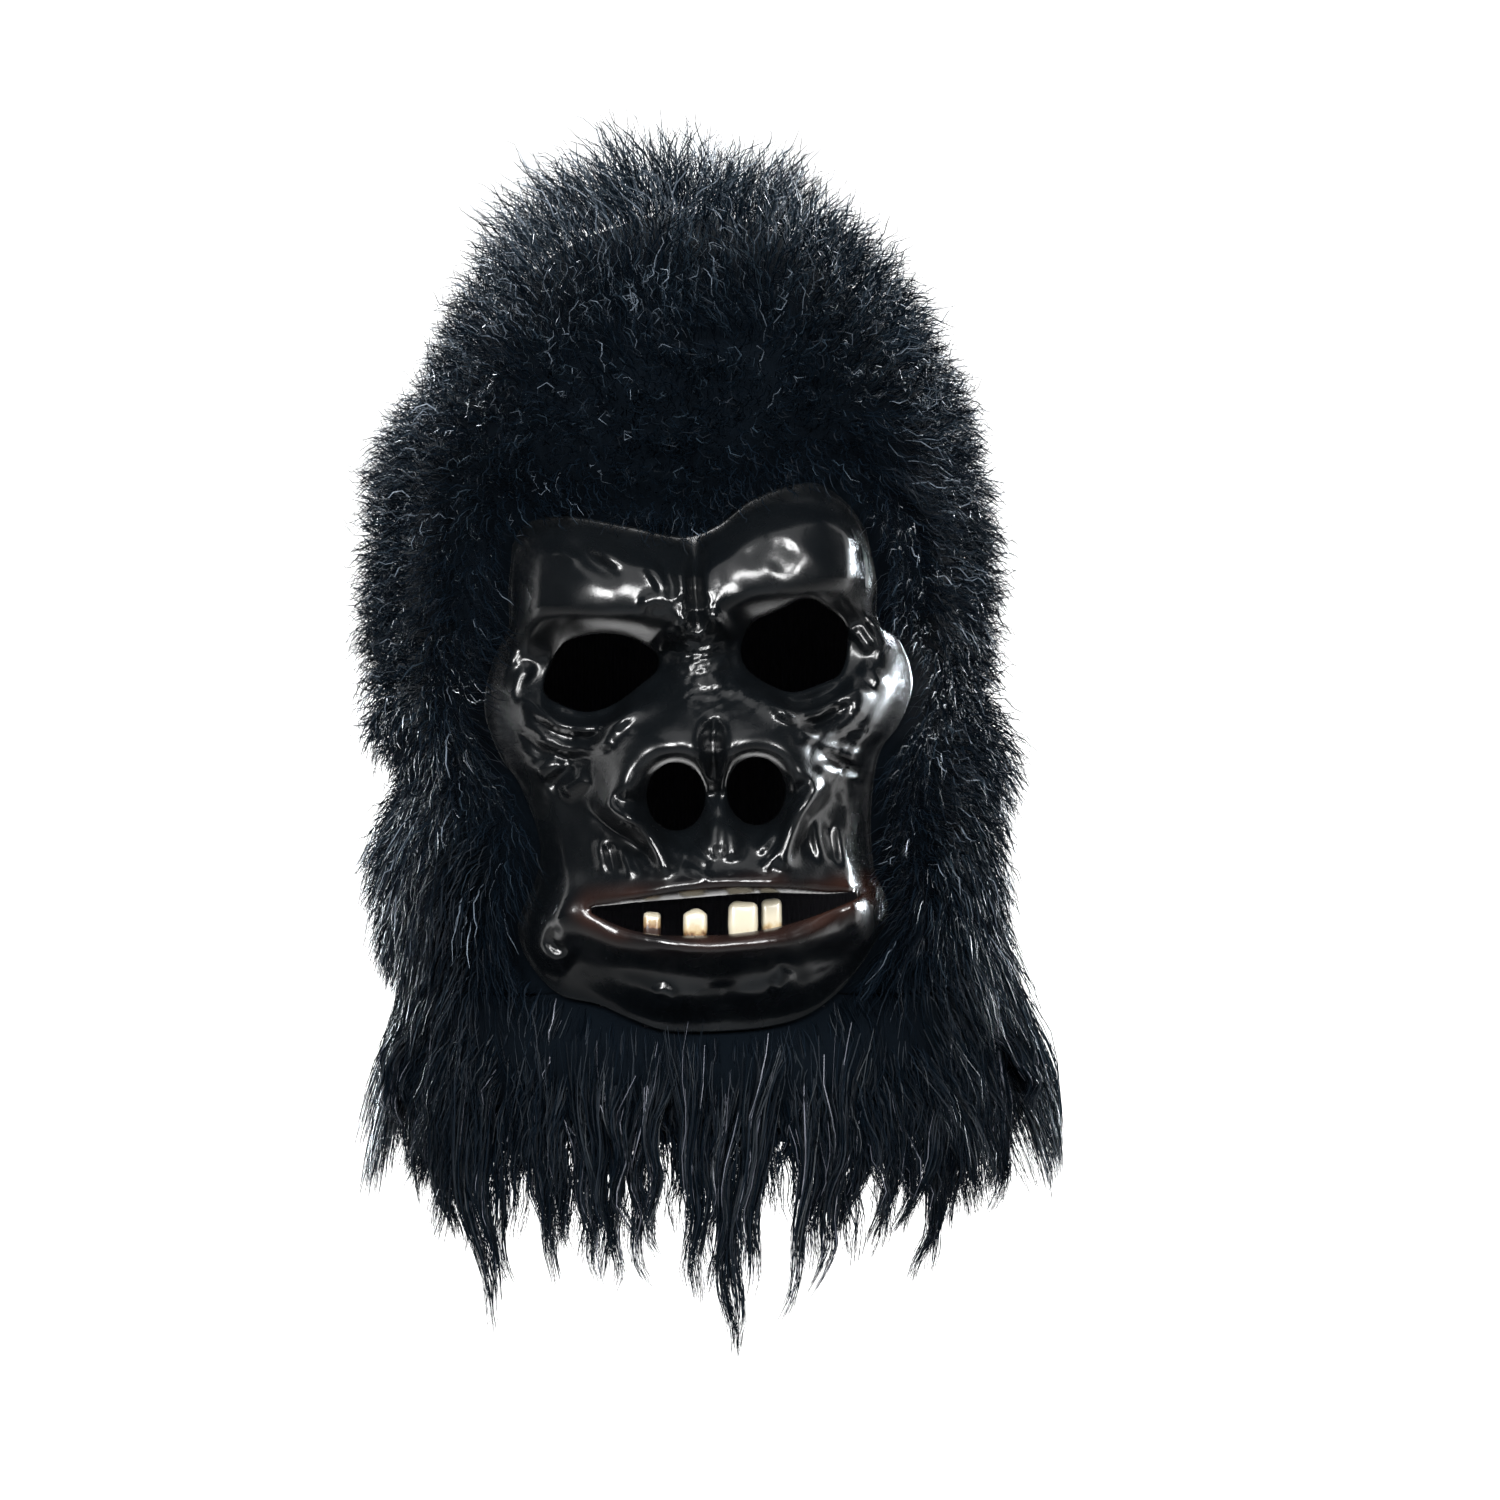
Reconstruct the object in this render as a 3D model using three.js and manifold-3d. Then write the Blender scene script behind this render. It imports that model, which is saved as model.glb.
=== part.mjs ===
// A pull-on gorilla mask: a moulded vinyl face sewn into a long-pile fur hood, with a beard of hanging locks.
// Millimetres, +Z up. The face looks along -Y, and +X is its own left. The origin is the inside of the crown,
// where it bears on a head. Every piece is laid out on one hood form: the cloth is that form, the fur stands
// outside it and the vinyl face is a relief on it.
import * as THREE from "three";
import Module from "manifold-3d";
import { mergeVertices } from "three/addons/utils/BufferGeometryUtils.js";

const wasm = await Module();
wasm.setup();

// Driving dimensions
const HOOD = {
  height: 264, // crown to the side hem
  halfWidth: 86,
  frontReach: 98,
  backReach: 105,
  wall: 2, // knitted backing cloth
  seamGap: 0.4,
};
const BIB = {
  drop: 14, // how far the front hem hangs below the side hem
  start: 0.85, // place from the crown to the hem where it starts
  side: 0.1, // share of the way from the side to the front where it starts
  full: 0.8, // and where it has its full drop
};
const SQUARENESS = 2.3; // exponent of the hood's rounded cross-section
const FACE = {
  width: 134,
  height: 170,
  eyeDrop: 127, // crown to the eye line
  offset: 3, // the face sits this far to the side of the crown
  wall: 1.8,
  relief: 34, // how far the strongest feature may stand off the hood form
  overlap: 6, // vinyl lapped over the cloth opening
  lift: 0.4, // gap between the vinyl and the cloth under it
};
const FUR = {
  pile: 24,
  rimPile: 9, // pile beside the vinyl
  rimRun: 26, // distance over which the pile grows to its full length
  rimGap: 1.3,
  rootGap: 0.5, // between the pile's root skin and the cloth
  hemTrim: 0.3, // share of the pile that is lost towards the hem
};
const TUFT = {
  step: 7, // from the root of one shag row to its tip
  shortest: 0.55, // step of the shortest tuft, as a share of step
  valley: 0.15, // step beside a tuft's ridge, as a share of that on it
  settle: 0.3, // how far a row of tufts sinks into the pile, as a share of step
};
const NOSTRIL = { width: 18, height: 21 };
const TOOTH = {
  depth: 5,
  root: 4, // how far a tooth reaches below the gum line
  seat: 0.3, // gap between the tooth and its shelf
  behindLip: 1.75,
  squareness: 0.6, // exponent that squares off a tooth's section
};
const LEDGE = { depth: 13, thickness: 2.4, toothRun: 0.2, endRun: 5, sink: 0.8 };
const LOCK = {
  width: 22,
  thickness: 11,
  rootRise: 14, // how far above its place on the hood a lock starts
  bend: 0.55, // where along a lock its sway is greatest
  rootShare: 0.7, // width at the root
  taper: 0.8, // share of the width that is lost towards the tip
};
const BEARD = {
  seam: 0.618, // the panel's top seam lies this share of FACE.height below the eyes
  front: 26, // the panel's side seams lie this far in front of the crown
  spread: 1.05, // radians round the hood from one share of HOOD.halfWidth to the next
};
const STEEPEST = 2.2; // limit on how much a wall is thickened along y where it slants

// Rings of the hood form from the crown to the hem. drop is a share of HOOD.height; left and right are shares
// of HOOD.halfWidth, front of HOOD.frontReach and back of HOOD.backReach. puffLeft and puffRight are the
// pile's length on each side as shares of FUR.pile.
const RINGS = [
  { drop: 0.0, left: 0.0, right: 0.0, front: 0.0, back: 0.0, puffLeft: 1.55, puffRight: 1.5 },
  { drop: 0.012, left: 0.21, right: 0.21, front: 0.2, back: 0.24, puffLeft: 1.5, puffRight: 1.45 },
  { drop: 0.046, left: 0.465, right: 0.43, front: 0.46, back: 0.495, puffLeft: 1.35, puffRight: 1.12 },
  { drop: 0.106, left: 0.675, right: 0.63, front: 0.67, back: 0.705, puffLeft: 1.0, puffRight: 0.95 },
  { drop: 0.189, left: 0.84, right: 0.78, front: 0.84, back: 0.86, puffLeft: 0.85, puffRight: 0.95 },
  { drop: 0.284, left: 0.94, right: 0.87, front: 0.93, back: 0.94, puffLeft: 1.05, puffRight: 0.86 },
  { drop: 0.398, left: 0.99, right: 0.92, front: 0.97, back: 0.99, puffLeft: 0.86, puffRight: 0.86 },
  { drop: 0.492, left: 1.0, right: 0.93, front: 0.98, back: 1.0, puffLeft: 0.84, puffRight: 0.84 },
  { drop: 0.545, left: 0.98, right: 0.935, front: 0.99, back: 0.98, puffLeft: 0.94, puffRight: 0.92 },
  { drop: 0.606, left: 0.95, right: 0.94, front: 1.0, back: 0.95, puffLeft: 0.62, puffRight: 0.96 },
  { drop: 0.72, left: 0.94, right: 0.93, front: 1.0, back: 0.88, puffLeft: 1.0, puffRight: 0.84 },
  { drop: 0.833, left: 0.93, right: 0.95, front: 1.0, back: 0.8, puffLeft: 0.62, puffRight: 1.02 },
  { drop: 0.928, left: 0.95, right: 1.0, front: 0.99, back: 0.78, puffLeft: 0.76, puffRight: 1.05 },
  { drop: 1.0, left: 0.99, right: 1.07, front: 0.99, back: 0.81, puffLeft: 0.72, puffRight: 1.0 },
];

// Edge of the vinyl, as [x, z] shares of FACE.width and FACE.height from the middle of the eye line
const RIM = {
  top: [
    [-0.437, 0.201], [-0.406, 0.241], [-0.321, 0.254], [-0.181, 0.237], [-0.03, 0.216], [0.042, 0.237],
    [0.112, 0.279], [0.192, 0.306], [0.271, 0.314], [0.343, 0.279], [0.387, 0.229],
  ],
  bottom: [
    [-0.41, -0.545], [-0.375, -0.586], [-0.321, -0.622], [-0.234, -0.638], [-0.153, -0.666], [-0.084, -0.684],
    [0.042, -0.686], [0.174, -0.676], [0.254, -0.656], [0.324, -0.615], [0.377, -0.565], [0.407, -0.529],
  ],
  left: [
    [-0.41, -0.545], [-0.423, -0.496], [-0.379, -0.405], [-0.37, -0.349], [-0.419, -0.237], [-0.463, -0.189],
    [-0.503, -0.1], [-0.481, -0.007], [-0.446, 0.049], [-0.446, 0.111], [-0.437, 0.201],
  ],
  right: [
    [0.407, -0.529], [0.44, -0.468], [0.405, -0.385], [0.4, -0.265], [0.421, -0.175], [0.466, -0.126],
    [0.498, -0.05], [0.466, 0.027], [0.416, 0.062], [0.412, 0.137], [0.387, 0.229],
  ],
};

// Openings through the vinyl, in the same shares
const EYE_LEFT = [
  [-0.361, -0.069], [-0.349, -0.021], [-0.313, 0.022], [-0.225, 0.038], [-0.153, 0.028], [-0.099, 0.0],
  [-0.096, -0.025], [-0.137, -0.056], [-0.198, -0.091], [-0.259, -0.105], [-0.322, -0.091],
];
const EYE_RIGHT = [
  [0.095, 0.007], [0.12, 0.056], [0.183, 0.08], [0.25, 0.101], [0.299, 0.084], [0.338, 0.056],
  [0.343, 0.014], [0.324, -0.035], [0.271, -0.056], [0.217, -0.069], [0.174, -0.06], [0.112, -0.028],
];
const MOUTH = [
  [-0.254, -0.461], [-0.178, -0.451], [-0.04, -0.441], [0.143, -0.431], [0.294, -0.434], [0.384, -0.432],
  [0.294, -0.465], [0.203, -0.488], [0.141, -0.498], [0.021, -0.507], [-0.125, -0.502], [-0.19, -0.488],
];
const NOSTRILS = [
  [-0.053, -0.258],
  [0.131, -0.248],
];

// Swellings and hollows of the vinyl. x and wide are shares of FACE.width; z, above and below of FACE.height,
// where above and below are the half heights; rise is a share of FACE.relief, turn is in degrees and edge is
// how sharply the lump ends.
const LUMPS = [
  { part: "muzzle", x: 0.034, z: -0.43, wide: 0.39, above: 0.25, below: 0.2, turn: 0, rise: 0.78, edge: 1.35 },
  { part: "left brow", x: -0.22, z: 0.084, wide: 0.23, above: 0.16, below: 0.057, turn: -4, rise: 0.66, edge: 1.2 },
  { part: "right brow", x: 0.235, z: 0.132, wide: 0.225, above: 0.17, below: 0.062, turn: 12, rise: 0.66, edge: 1.2 },
  { part: "between the brows", x: 0.0, z: 0.06, wide: 0.08, above: 0.12, below: 0.12, turn: 0, rise: 0.2, edge: 1.2 },
  { part: "left socket", x: -0.23, z: -0.025, wide: 0.19, above: 0.08, below: 0.1, turn: 0, rise: -0.22, edge: 1.5 },
  { part: "right socket", x: 0.225, z: 0.01, wide: 0.18, above: 0.09, below: 0.11, turn: 0, rise: -0.22, edge: 1.5 },
  { part: "left cheek", x: -0.375, z: -0.15, wide: 0.12, above: 0.08, below: 0.09, turn: 28, rise: 0.3, edge: 1.3 },
  { part: "right cheek", x: 0.39, z: -0.12, wide: 0.115, above: 0.09, below: 0.1, turn: -25, rise: 0.32, edge: 1.3 },
  { part: "left temple", x: -0.445, z: 0.0, wide: 0.06, above: 0.13, below: 0.12, turn: -12, rise: 0.15, edge: 1.3 },
  { part: "right temple", x: 0.445, z: 0.01, wide: 0.06, above: 0.11, below: 0.1, turn: 12, rise: 0.18, edge: 1.3 },
  { part: "bridge", x: 0.015, z: -0.07, wide: 0.105, above: 0.11, below: 0.14, turn: 0, rise: 0.34, edge: 1.3 },
  { part: "left nose bulb", x: -0.102, z: -0.19, wide: 0.138, above: 0.095, below: 0.12, turn: 14, rise: 0.64, edge: 1.6 },
  { part: "right nose bulb", x: 0.158, z: -0.178, wide: 0.135, above: 0.095, below: 0.12, turn: -14, rise: 0.64, edge: 1.6 },
  { part: "left wing", x: -0.17, z: -0.27, wide: 0.05, above: 0.06, below: 0.06, turn: 25, rise: 0.2, edge: 1.3 },
  { part: "right wing", x: 0.24, z: -0.255, wide: 0.05, above: 0.06, below: 0.06, turn: -25, rise: 0.2, edge: 1.3 },
  { part: "left nostril", x: -0.053, z: -0.264, wide: 0.088, above: 0.07, below: 0.078, turn: 8, rise: -0.55, edge: 1.8 },
  { part: "right nostril", x: 0.131, z: -0.252, wide: 0.082, above: 0.068, below: 0.075, turn: -8, rise: -0.55, edge: 1.8 },
  { part: "left jowl", x: -0.36, z: -0.515, wide: 0.065, above: 0.055, below: 0.055, turn: -40, rise: 0.2, edge: 1.3 },
  { part: "right jowl", x: 0.4, z: -0.48, wide: 0.05, above: 0.05, below: 0.05, turn: 40, rise: 0.15, edge: 1.3 },
  { part: "left chin", x: -0.08, z: -0.615, wide: 0.135, above: 0.08, below: 0.07, turn: 0, rise: 0.17, edge: 1.3 },
  { part: "right chin", x: 0.195, z: -0.61, wide: 0.12, above: 0.08, below: 0.07, turn: 0, rise: 0.17, edge: 1.3 },
];

// Ridges and creases: points in the face's shares, half width as a share of FACE.width, rise as above
const FOLDS = [
  {
    part: "upper lip", half: 0.05, rise: 0.2,
    points: [[-0.29, -0.44], [-0.14, -0.422], [0.04, -0.41], [0.22, -0.41], [0.38, -0.418]],
  },
  {
    part: "lower lip", half: 0.05, rise: 0.24,
    points: [[-0.34, -0.47], [-0.19, -0.52], [0.03, -0.54], [0.22, -0.525], [0.41, -0.445]],
  },
  { part: "crease under the lip", half: 0.045, rise: -0.12, points: [[-0.26, -0.56], [0.04, -0.58], [0.32, -0.55]] },
  { part: "groove of the nose", half: 0.024, rise: -0.24, points: [[0.033, -0.14], [0.035, -0.25]] },
  { part: "frown line", half: 0.02, rise: -0.2, points: [[-0.01, 0.2], [-0.005, 0.06]] },
  {
    part: "left under-eye fold", half: 0.026, rise: 0.14,
    points: [[-0.4, -0.09], [-0.33, -0.13], [-0.22, -0.14], [-0.11, -0.09]],
  },
  {
    part: "right under-eye fold", half: 0.026, rise: 0.14,
    points: [[0.1, -0.065], [0.18, -0.1], [0.27, -0.105], [0.36, -0.07]],
  },
  { part: "left nostril rim", half: 0.028, rise: 0.16, points: [[-0.2, -0.27], [-0.13, -0.31], [-0.08, -0.38]] },
  { part: "right nostril rim", half: 0.028, rise: 0.16, points: [[0.27, -0.25], [0.24, -0.31], [0.195, -0.37]] },
];

// Teeth: left and right edges as shares of FACE.width, gum and tip as shares of FACE.height
const TEETH = [
  { left: -0.127, right: -0.087, gum: -0.505, tip: -0.461 },
  { left: -0.036, right: 0.019, gum: -0.508, tip: -0.458 },
  { left: 0.066, right: 0.135, gum: -0.509, tip: -0.443 },
  { left: 0.141, right: 0.19, gum: -0.497, tip: -0.438 },
];

// Beard locks: where each tip hangs. across is a share of HOOD.halfWidth, drop of HOOD.height and sway of
// LOCK.width.
const LONG_LOCKS = [
  { across: -1.04, drop: 1.06, sway: -0.3 }, { across: -0.95, drop: 1.15, sway: 0.2 },
  { across: -0.79, drop: 1.22, sway: -0.2 }, { across: -0.63, drop: 1.3, sway: -0.3 },
  { across: -0.47, drop: 1.24, sway: 0.3 }, { across: -0.3, drop: 1.27, sway: 0.2 },
  { across: -0.13, drop: 1.23, sway: -0.3 }, { across: 0.03, drop: 1.25, sway: 0.2 },
  { across: 0.2, drop: 1.31, sway: -0.4 }, { across: 0.36, drop: 1.27, sway: 0.4 },
  { across: 0.52, drop: 1.21, sway: -0.2 }, { across: 0.67, drop: 1.2, sway: 0.3 },
  { across: 0.82, drop: 1.23, sway: 0.3 }, { across: 0.97, drop: 1.18, sway: -0.3 },
  { across: 1.1, drop: 1.16, sway: 0.3 }, { across: 1.22, drop: 1.06, sway: 0.3 },
];
const SHORT_LOCKS = [
  { across: -1.08, drop: 0.99, sway: 0.2 }, { across: -0.84, drop: 1.07, sway: -0.3 },
  { across: -0.57, drop: 1.11, sway: 0.3 }, { across: -0.29, drop: 1.09, sway: -0.2 },
  { across: 0.0, drop: 1.13, sway: 0.3 }, { across: 0.29, drop: 1.1, sway: -0.3 },
  { across: 0.58, drop: 1.12, sway: 0.2 }, { across: 0.88, drop: 1.07, sway: 0.3 },
  { across: 1.16, drop: 1.0, sway: -0.2 },
];
// Where the locks leave the hood: along is the place from the crown to the hem, depth a share of FUR.pile
const LOCK_ROOTS = {
  long: { along: 0.95, depth: 0.72 },
  short: { along: 0.985, depth: 0.48 },
  side: { along: 0.97, depth: 0.42 },
};
// Locks at the hem of a side panel, in radians from the beard's seam round to the back
const SIDE_LOCKS = {
  count: 8,
  first: -0.08,
  last: 1.4,
  length: 30,
  shortest: 0.6, // as a share of length
  longest: 1.2,
  sway: 0.25, // share of LOCK.width
  tipDepth: 0.6, // least share of FUR.pile at which a tip hangs
};
// A tooth's sections from tip to foot: up is a share of its height, wide and deep of its width and depth
const TOOTH_SECTIONS = [
  { up: 0.97, wide: 0.62, deep: 0.4 },
  { up: 0.84, wide: 0.97, deep: 0.8 },
  { up: 0.45, wide: 1, deep: 1 },
  { up: 0, wide: 0.84, deep: 0.9 },
];

// Counts of facets
const HOOD_COLUMNS = 36;
const CLOTH_ROWS = [0.077, 0.154, 0.231, 0.308, 0.4, 0.5, 0.62, 0.75, 0.88, 1]; // from the crown to the hem
const TUFTS_AROUND = 10;
const TUFT_ROWS = 7;
const TUFT_RINGS = [0.04, 0.5, 0.96]; // within one row
const LOCK_RINGS = [0, 0.5, 0.84];
const FACE_COLUMNS = 24;
const FACE_ROWS = 28;
const RIM_STEPS = 48;
const EYE_STEPS = 18;
const MOUTH_STEPS = 24;
const LOCK_SIDES = 4;
const TOOTH_SIDES = 10;
const NOSTRIL_SIDES = 12;

const smooth = (low, high, value) => {
  const t = Math.min(1, Math.max(0, (value - low) / (high - low)));
  return t * t * (3 - 2 * t);
};
const mix = (a, b, t) => a + (b - a) * t;
const scatter = (i, j) => {
  const wave = Math.sin(i * 12.9898 + j * 78.233) * 43758.5453;
  return wave - Math.floor(wave);
};

// Solids from meshes and back
function toSolid(geometry) {
  const bare = new THREE.BufferGeometry().setAttribute("position", geometry.attributes.position);
  bare.setIndex(geometry.index);
  const merged = mergeVertices(bare, 1e-4);
  const mesh = new wasm.Mesh({
    numProp: 3,
    vertProperties: merged.attributes.position.array,
    triVerts: new Uint32Array(merged.index.array),
  });
  return new wasm.Manifold(mesh);
}

function toGeometry(solid) {
  const mesh = solid.getMesh();
  const geometry = new THREE.BufferGeometry();
  geometry.setAttribute("position", new THREE.BufferAttribute(mesh.vertProperties, 3));
  geometry.setIndex(new THREE.BufferAttribute(mesh.triVerts, 1));
  return geometry;
}

// A closed body from rings of points, with a pole at each end. The rings from turnAt on run back over the first
// ones: their facets are split the other way, so that both layers lie level.
function ringStack(rings, startPole, endPole, turnAt = Infinity) {
  const sides = rings[0].length;
  const points = [startPole, ...rings.flat(), endPole];
  const end = points.length - 1;
  const index = [];
  const at = (row, column) => 1 + row * sides + (column % sides);
  for (let c = 0; c < sides; c += 1) {
    index.push(0, at(0, c), at(0, c + 1));
    index.push(end, at(rings.length - 1, c + 1), at(rings.length - 1, c));
    for (let r = 0; r < rings.length - 1; r += 1) {
      const [near, below, across, beside] = [at(r, c), at(r + 1, c), at(r + 1, c + 1), at(r, c + 1)];
      if (r < turnAt) index.push(near, below, across, near, across, beside);
      else index.push(near, below, beside, below, across, beside);
    }
  }
  const geometry = new THREE.BufferGeometry().setFromPoints(points);
  geometry.setIndex(index);
  const solid = toSolid(geometry);
  if (solid.volume() > 0) return solid;
  geometry.setIndex(index.reverse());
  return toSolid(geometry);
}

// A slab that reaches through the front of the hood, with the given outline in x and z
function frontPrism(outline, nearY, farY) {
  const shape = new THREE.Shape(outline.map(([x, z]) => new THREE.Vector2(x, z)));
  const slab = new THREE.ExtrudeGeometry(shape, { depth: farY - nearY, bevelEnabled: false });
  slab.rotateX(Math.PI / 2);
  slab.translate(0, farY, 0);
  return toSolid(slab);
}

function box(low, high) {
  const block = new THREE.BoxGeometry(high[0] - low[0], high[1] - low[1], high[2] - low[2]);
  block.translate((low[0] + high[0]) / 2, (low[1] + high[1]) / 2, (low[2] + high[2]) / 2);
  return toSolid(block);
}

// The hood form
// One column of the ring table at a place along it, from 0 at the crown to 1 at the hem
function ringValue(column, along) {
  const place = Math.min(0.99999, Math.max(0, along)) * (RINGS.length - 1);
  const row = Math.floor(place);
  const t = place - row;
  const value = (i) => RINGS[Math.min(RINGS.length - 1, Math.max(0, i))][column];
  const [a, b, c, d] = [value(row - 1), value(row), value(row + 1), value(row + 2)];
  const bend = (2 * a - 5 * b + 4 * c - d) * t * t + (3 * b - a - 3 * c + d) * t * t * t;
  return b + 0.5 * ((c - a) * t + bend);
}

// How much lower the hood form lies towards its front hem. toFront is 1 straight to the front.
const bibFall = (along, toFront) => BIB.drop * smooth(BIB.side, BIB.full, toFront) * smooth(BIB.start, 1, along);

// angle 0 points to +X and 270 degrees to the front
function hoodPoint(along, angle) {
  const [cx, sy] = [Math.cos(angle), Math.sin(angle)];
  const across = ringValue(cx < 0 ? "left" : "right", along) * HOOD.halfWidth;
  const reach = sy < 0 ? ringValue("front", along) * HOOD.frontReach : ringValue("back", along) * HOOD.backReach;
  const z = -ringValue("drop", along) * HOOD.height - bibFall(along, -sy);
  if (across < 1e-6) return new THREE.Vector3(0, 0, z);
  const radius = (Math.abs(cx / across) ** SQUARENESS + Math.abs(sy / reach) ** SQUARENESS) ** (-1 / SQUARENESS);
  return new THREE.Vector3(cx * radius, sy * radius, z);
}

function hoodNormal(along, angle) {
  if (along < 1e-6) return new THREE.Vector3(0, 0, 1);
  const step = 0.004;
  const low = Math.min(1 - step, along);
  const down = hoodPoint(low + step, angle).sub(hoodPoint(Math.max(0, low - step), angle));
  const round = hoodPoint(along, angle + step).sub(hoodPoint(along, angle - step));
  return down.cross(round).normalize();
}

function hoodAt(along, angle, lift) {
  return hoodPoint(along, angle).addScaledVector(hoodNormal(along, angle), lift);
}

// y of the front of the hood form at a given x and z
function frontY(x, z) {
  let [low, high] = [0, 1];
  for (let i = 0; i < 24; i += 1) {
    const middle = (low + high) / 2;
    if (ringValue("drop", middle) * HOOD.height + bibFall(middle, 1) < -z) low = middle;
    else high = middle;
  }
  const across = ringValue(x < 0 ? "left" : "right", low) * HOOD.halfWidth;
  const reach = ringValue("front", low) * HOOD.frontReach;
  const share = Math.min(0.98, Math.abs(x) / across);
  return -reach * (1 - share ** SQUARENESS) ** (1 / SQUARENESS);
}

// How much longer a step through a slanting wall is along y than across the wall
function slant(surface, x, z) {
  const step = 0.5;
  const across = (surface(x + step, z) - surface(x - step, z)) / (2 * step);
  const up = (surface(x, z + step) - surface(x, z - step)) / (2 * step);
  return Math.min(STEEPEST, Math.hypot(1, across, up));
}

// y of the front of the hood form with a layer of the given thickness on it
const layeredY = (x, z, thickness) => frontY(x, z) - thickness * slant(frontY, x, z);

// A hollow cover between two distances from the hood form, open at the hem. Each side has its rows and a
// function that gives its distance.
function cover(outer, inner) {
  const ring = (along, lift) =>
    Array.from({ length: HOOD_COLUMNS }, (_, i) => {
      const angle = (i / HOOD_COLUMNS) * 2 * Math.PI;
      return hoodAt(along, angle, lift(along, angle));
    });
  const outside = outer.rows.map((along) => ring(along, outer.lift));
  const inside = inner.rows.map((along) => ring(along, inner.lift)).reverse();
  const crown = (lift) => new THREE.Vector3(0, 0, lift(0, 0));
  return ringStack([...outside, ...inside], crown(outer.lift), crown(inner.lift), outside.length);
}

// Face coordinates: shares to millimetres, and curves through them
const FACE_CENTRE = new THREE.Vector2(FACE.offset, -FACE.eyeDrop);
const facePoint = ([x, z]) => [FACE_CENTRE.x + x * FACE.width, FACE_CENTRE.y + z * FACE.height];

function faceCurve(shares, closed = false) {
  const points = shares.map((share) => {
    const [x, z] = facePoint(share);
    return new THREE.Vector3(x, 0, z);
  });
  return new THREE.CatmullRomCurve3(points, closed, "centripetal");
}

function flatPoints(curve, steps) {
  return Array.from({ length: steps }, (_, i) => {
    const point = curve.getPointAt(i / steps);
    return [point.x, point.z];
  });
}

const rimCurves = {
  top: faceCurve(RIM.top),
  bottom: faceCurve(RIM.bottom),
  left: faceCurve(RIM.left),
  right: faceCurve(RIM.right),
};

// The whole rim, anticlockwise seen from the front
function rimOutline() {
  const steps = RIM_STEPS / 4;
  const along = (curve, reversed) =>
    Array.from({ length: steps }, (_, i) => {
      const point = curve.getPointAt(reversed ? 1 - i / steps : i / steps);
      return [point.x, point.z];
    });
  return [
    ...along(rimCurves.bottom, false),
    ...along(rimCurves.right, false),
    ...along(rimCurves.top, true),
    ...along(rimCurves.left, true),
  ];
}

// The outline moved outwards by a distance, or inwards if it is negative
function offsetOutline(outline, distance) {
  const count = outline.length;
  return outline.map(([x, z], i) => {
    const before = outline[(i + count - 2) % count];
    const after = outline[(i + 2) % count];
    const along = new THREE.Vector2(after[0] - before[0], after[1] - before[1]).normalize();
    return [x + along.y * distance, z - along.x * distance];
  });
}

function distanceToLine(x, z, line) {
  let best = Infinity;
  for (let i = 0; i < line.length - 1; i += 1) {
    const [ax, az] = line[i];
    const [bx, bz] = line[i + 1];
    const length2 = (bx - ax) ** 2 + (bz - az) ** 2;
    const t = Math.min(1, Math.max(0, ((x - ax) * (bx - ax) + (z - az) * (bz - az)) / length2));
    best = Math.min(best, Math.hypot(x - mix(ax, bx, t), z - mix(az, bz, t)));
  }
  return best;
}

const rimLine = [...rimOutline(), rimOutline()[0]];
const foldLines = FOLDS.map((fold) => ({
  line: fold.points.map(facePoint),
  half: fold.half * FACE.width,
  rise: fold.rise * FACE.relief,
}));

// How far the vinyl's features stand off the hood form at x and z
function featureRise(x, z) {
  let rise = 0;
  for (const lump of LUMPS) {
    const [cx, cz] = facePoint([lump.x, lump.z]);
    const turn = THREE.MathUtils.degToRad(lump.turn);
    const along = ((x - cx) * Math.cos(turn) + (z - cz) * Math.sin(turn)) / (lump.wide * FACE.width);
    const over = (z - cz) * Math.cos(turn) - (x - cx) * Math.sin(turn);
    const up = over / ((over > 0 ? lump.above : lump.below) * FACE.height);
    rise += lump.rise * FACE.relief * Math.exp(-((along * along + up * up) ** lump.edge));
  }
  for (const fold of foldLines) {
    rise += fold.rise * Math.exp(-((distanceToLine(x, z, fold.line) / fold.half) ** 2));
  }
  return rise;
}

// y of the vinyl's outer surface at x and z. shown runs from 0 at its rim to 1 where its features stand in full.
const vinylY = (x, z, shown = 1) => layeredY(x, z, FACE.lift + FACE.wall) - shown * featureRise(x, z);
const RIM_RAMP = { across: 0.09, up: 0.07 }; // shares of the face over which they rise from the rim

// x and z on the face: s runs from left to right and t from the chin to the brows
function facePlace(s, t) {
  const { top, bottom, left, right } = rimCurves;
  const [b, u, l, r] = [bottom.getPointAt(s), top.getPointAt(s), left.getPointAt(t), right.getPointAt(t)];
  const corner = (curve, a) => mix(curve.points[0][a], curve.points.at(-1)[a], s);
  const blend = (a) => mix(b[a], u[a], t) + mix(l[a], r[a], s) - mix(corner(bottom, a), corner(top, a), t);
  return [blend("x"), blend("z")];
}

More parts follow.
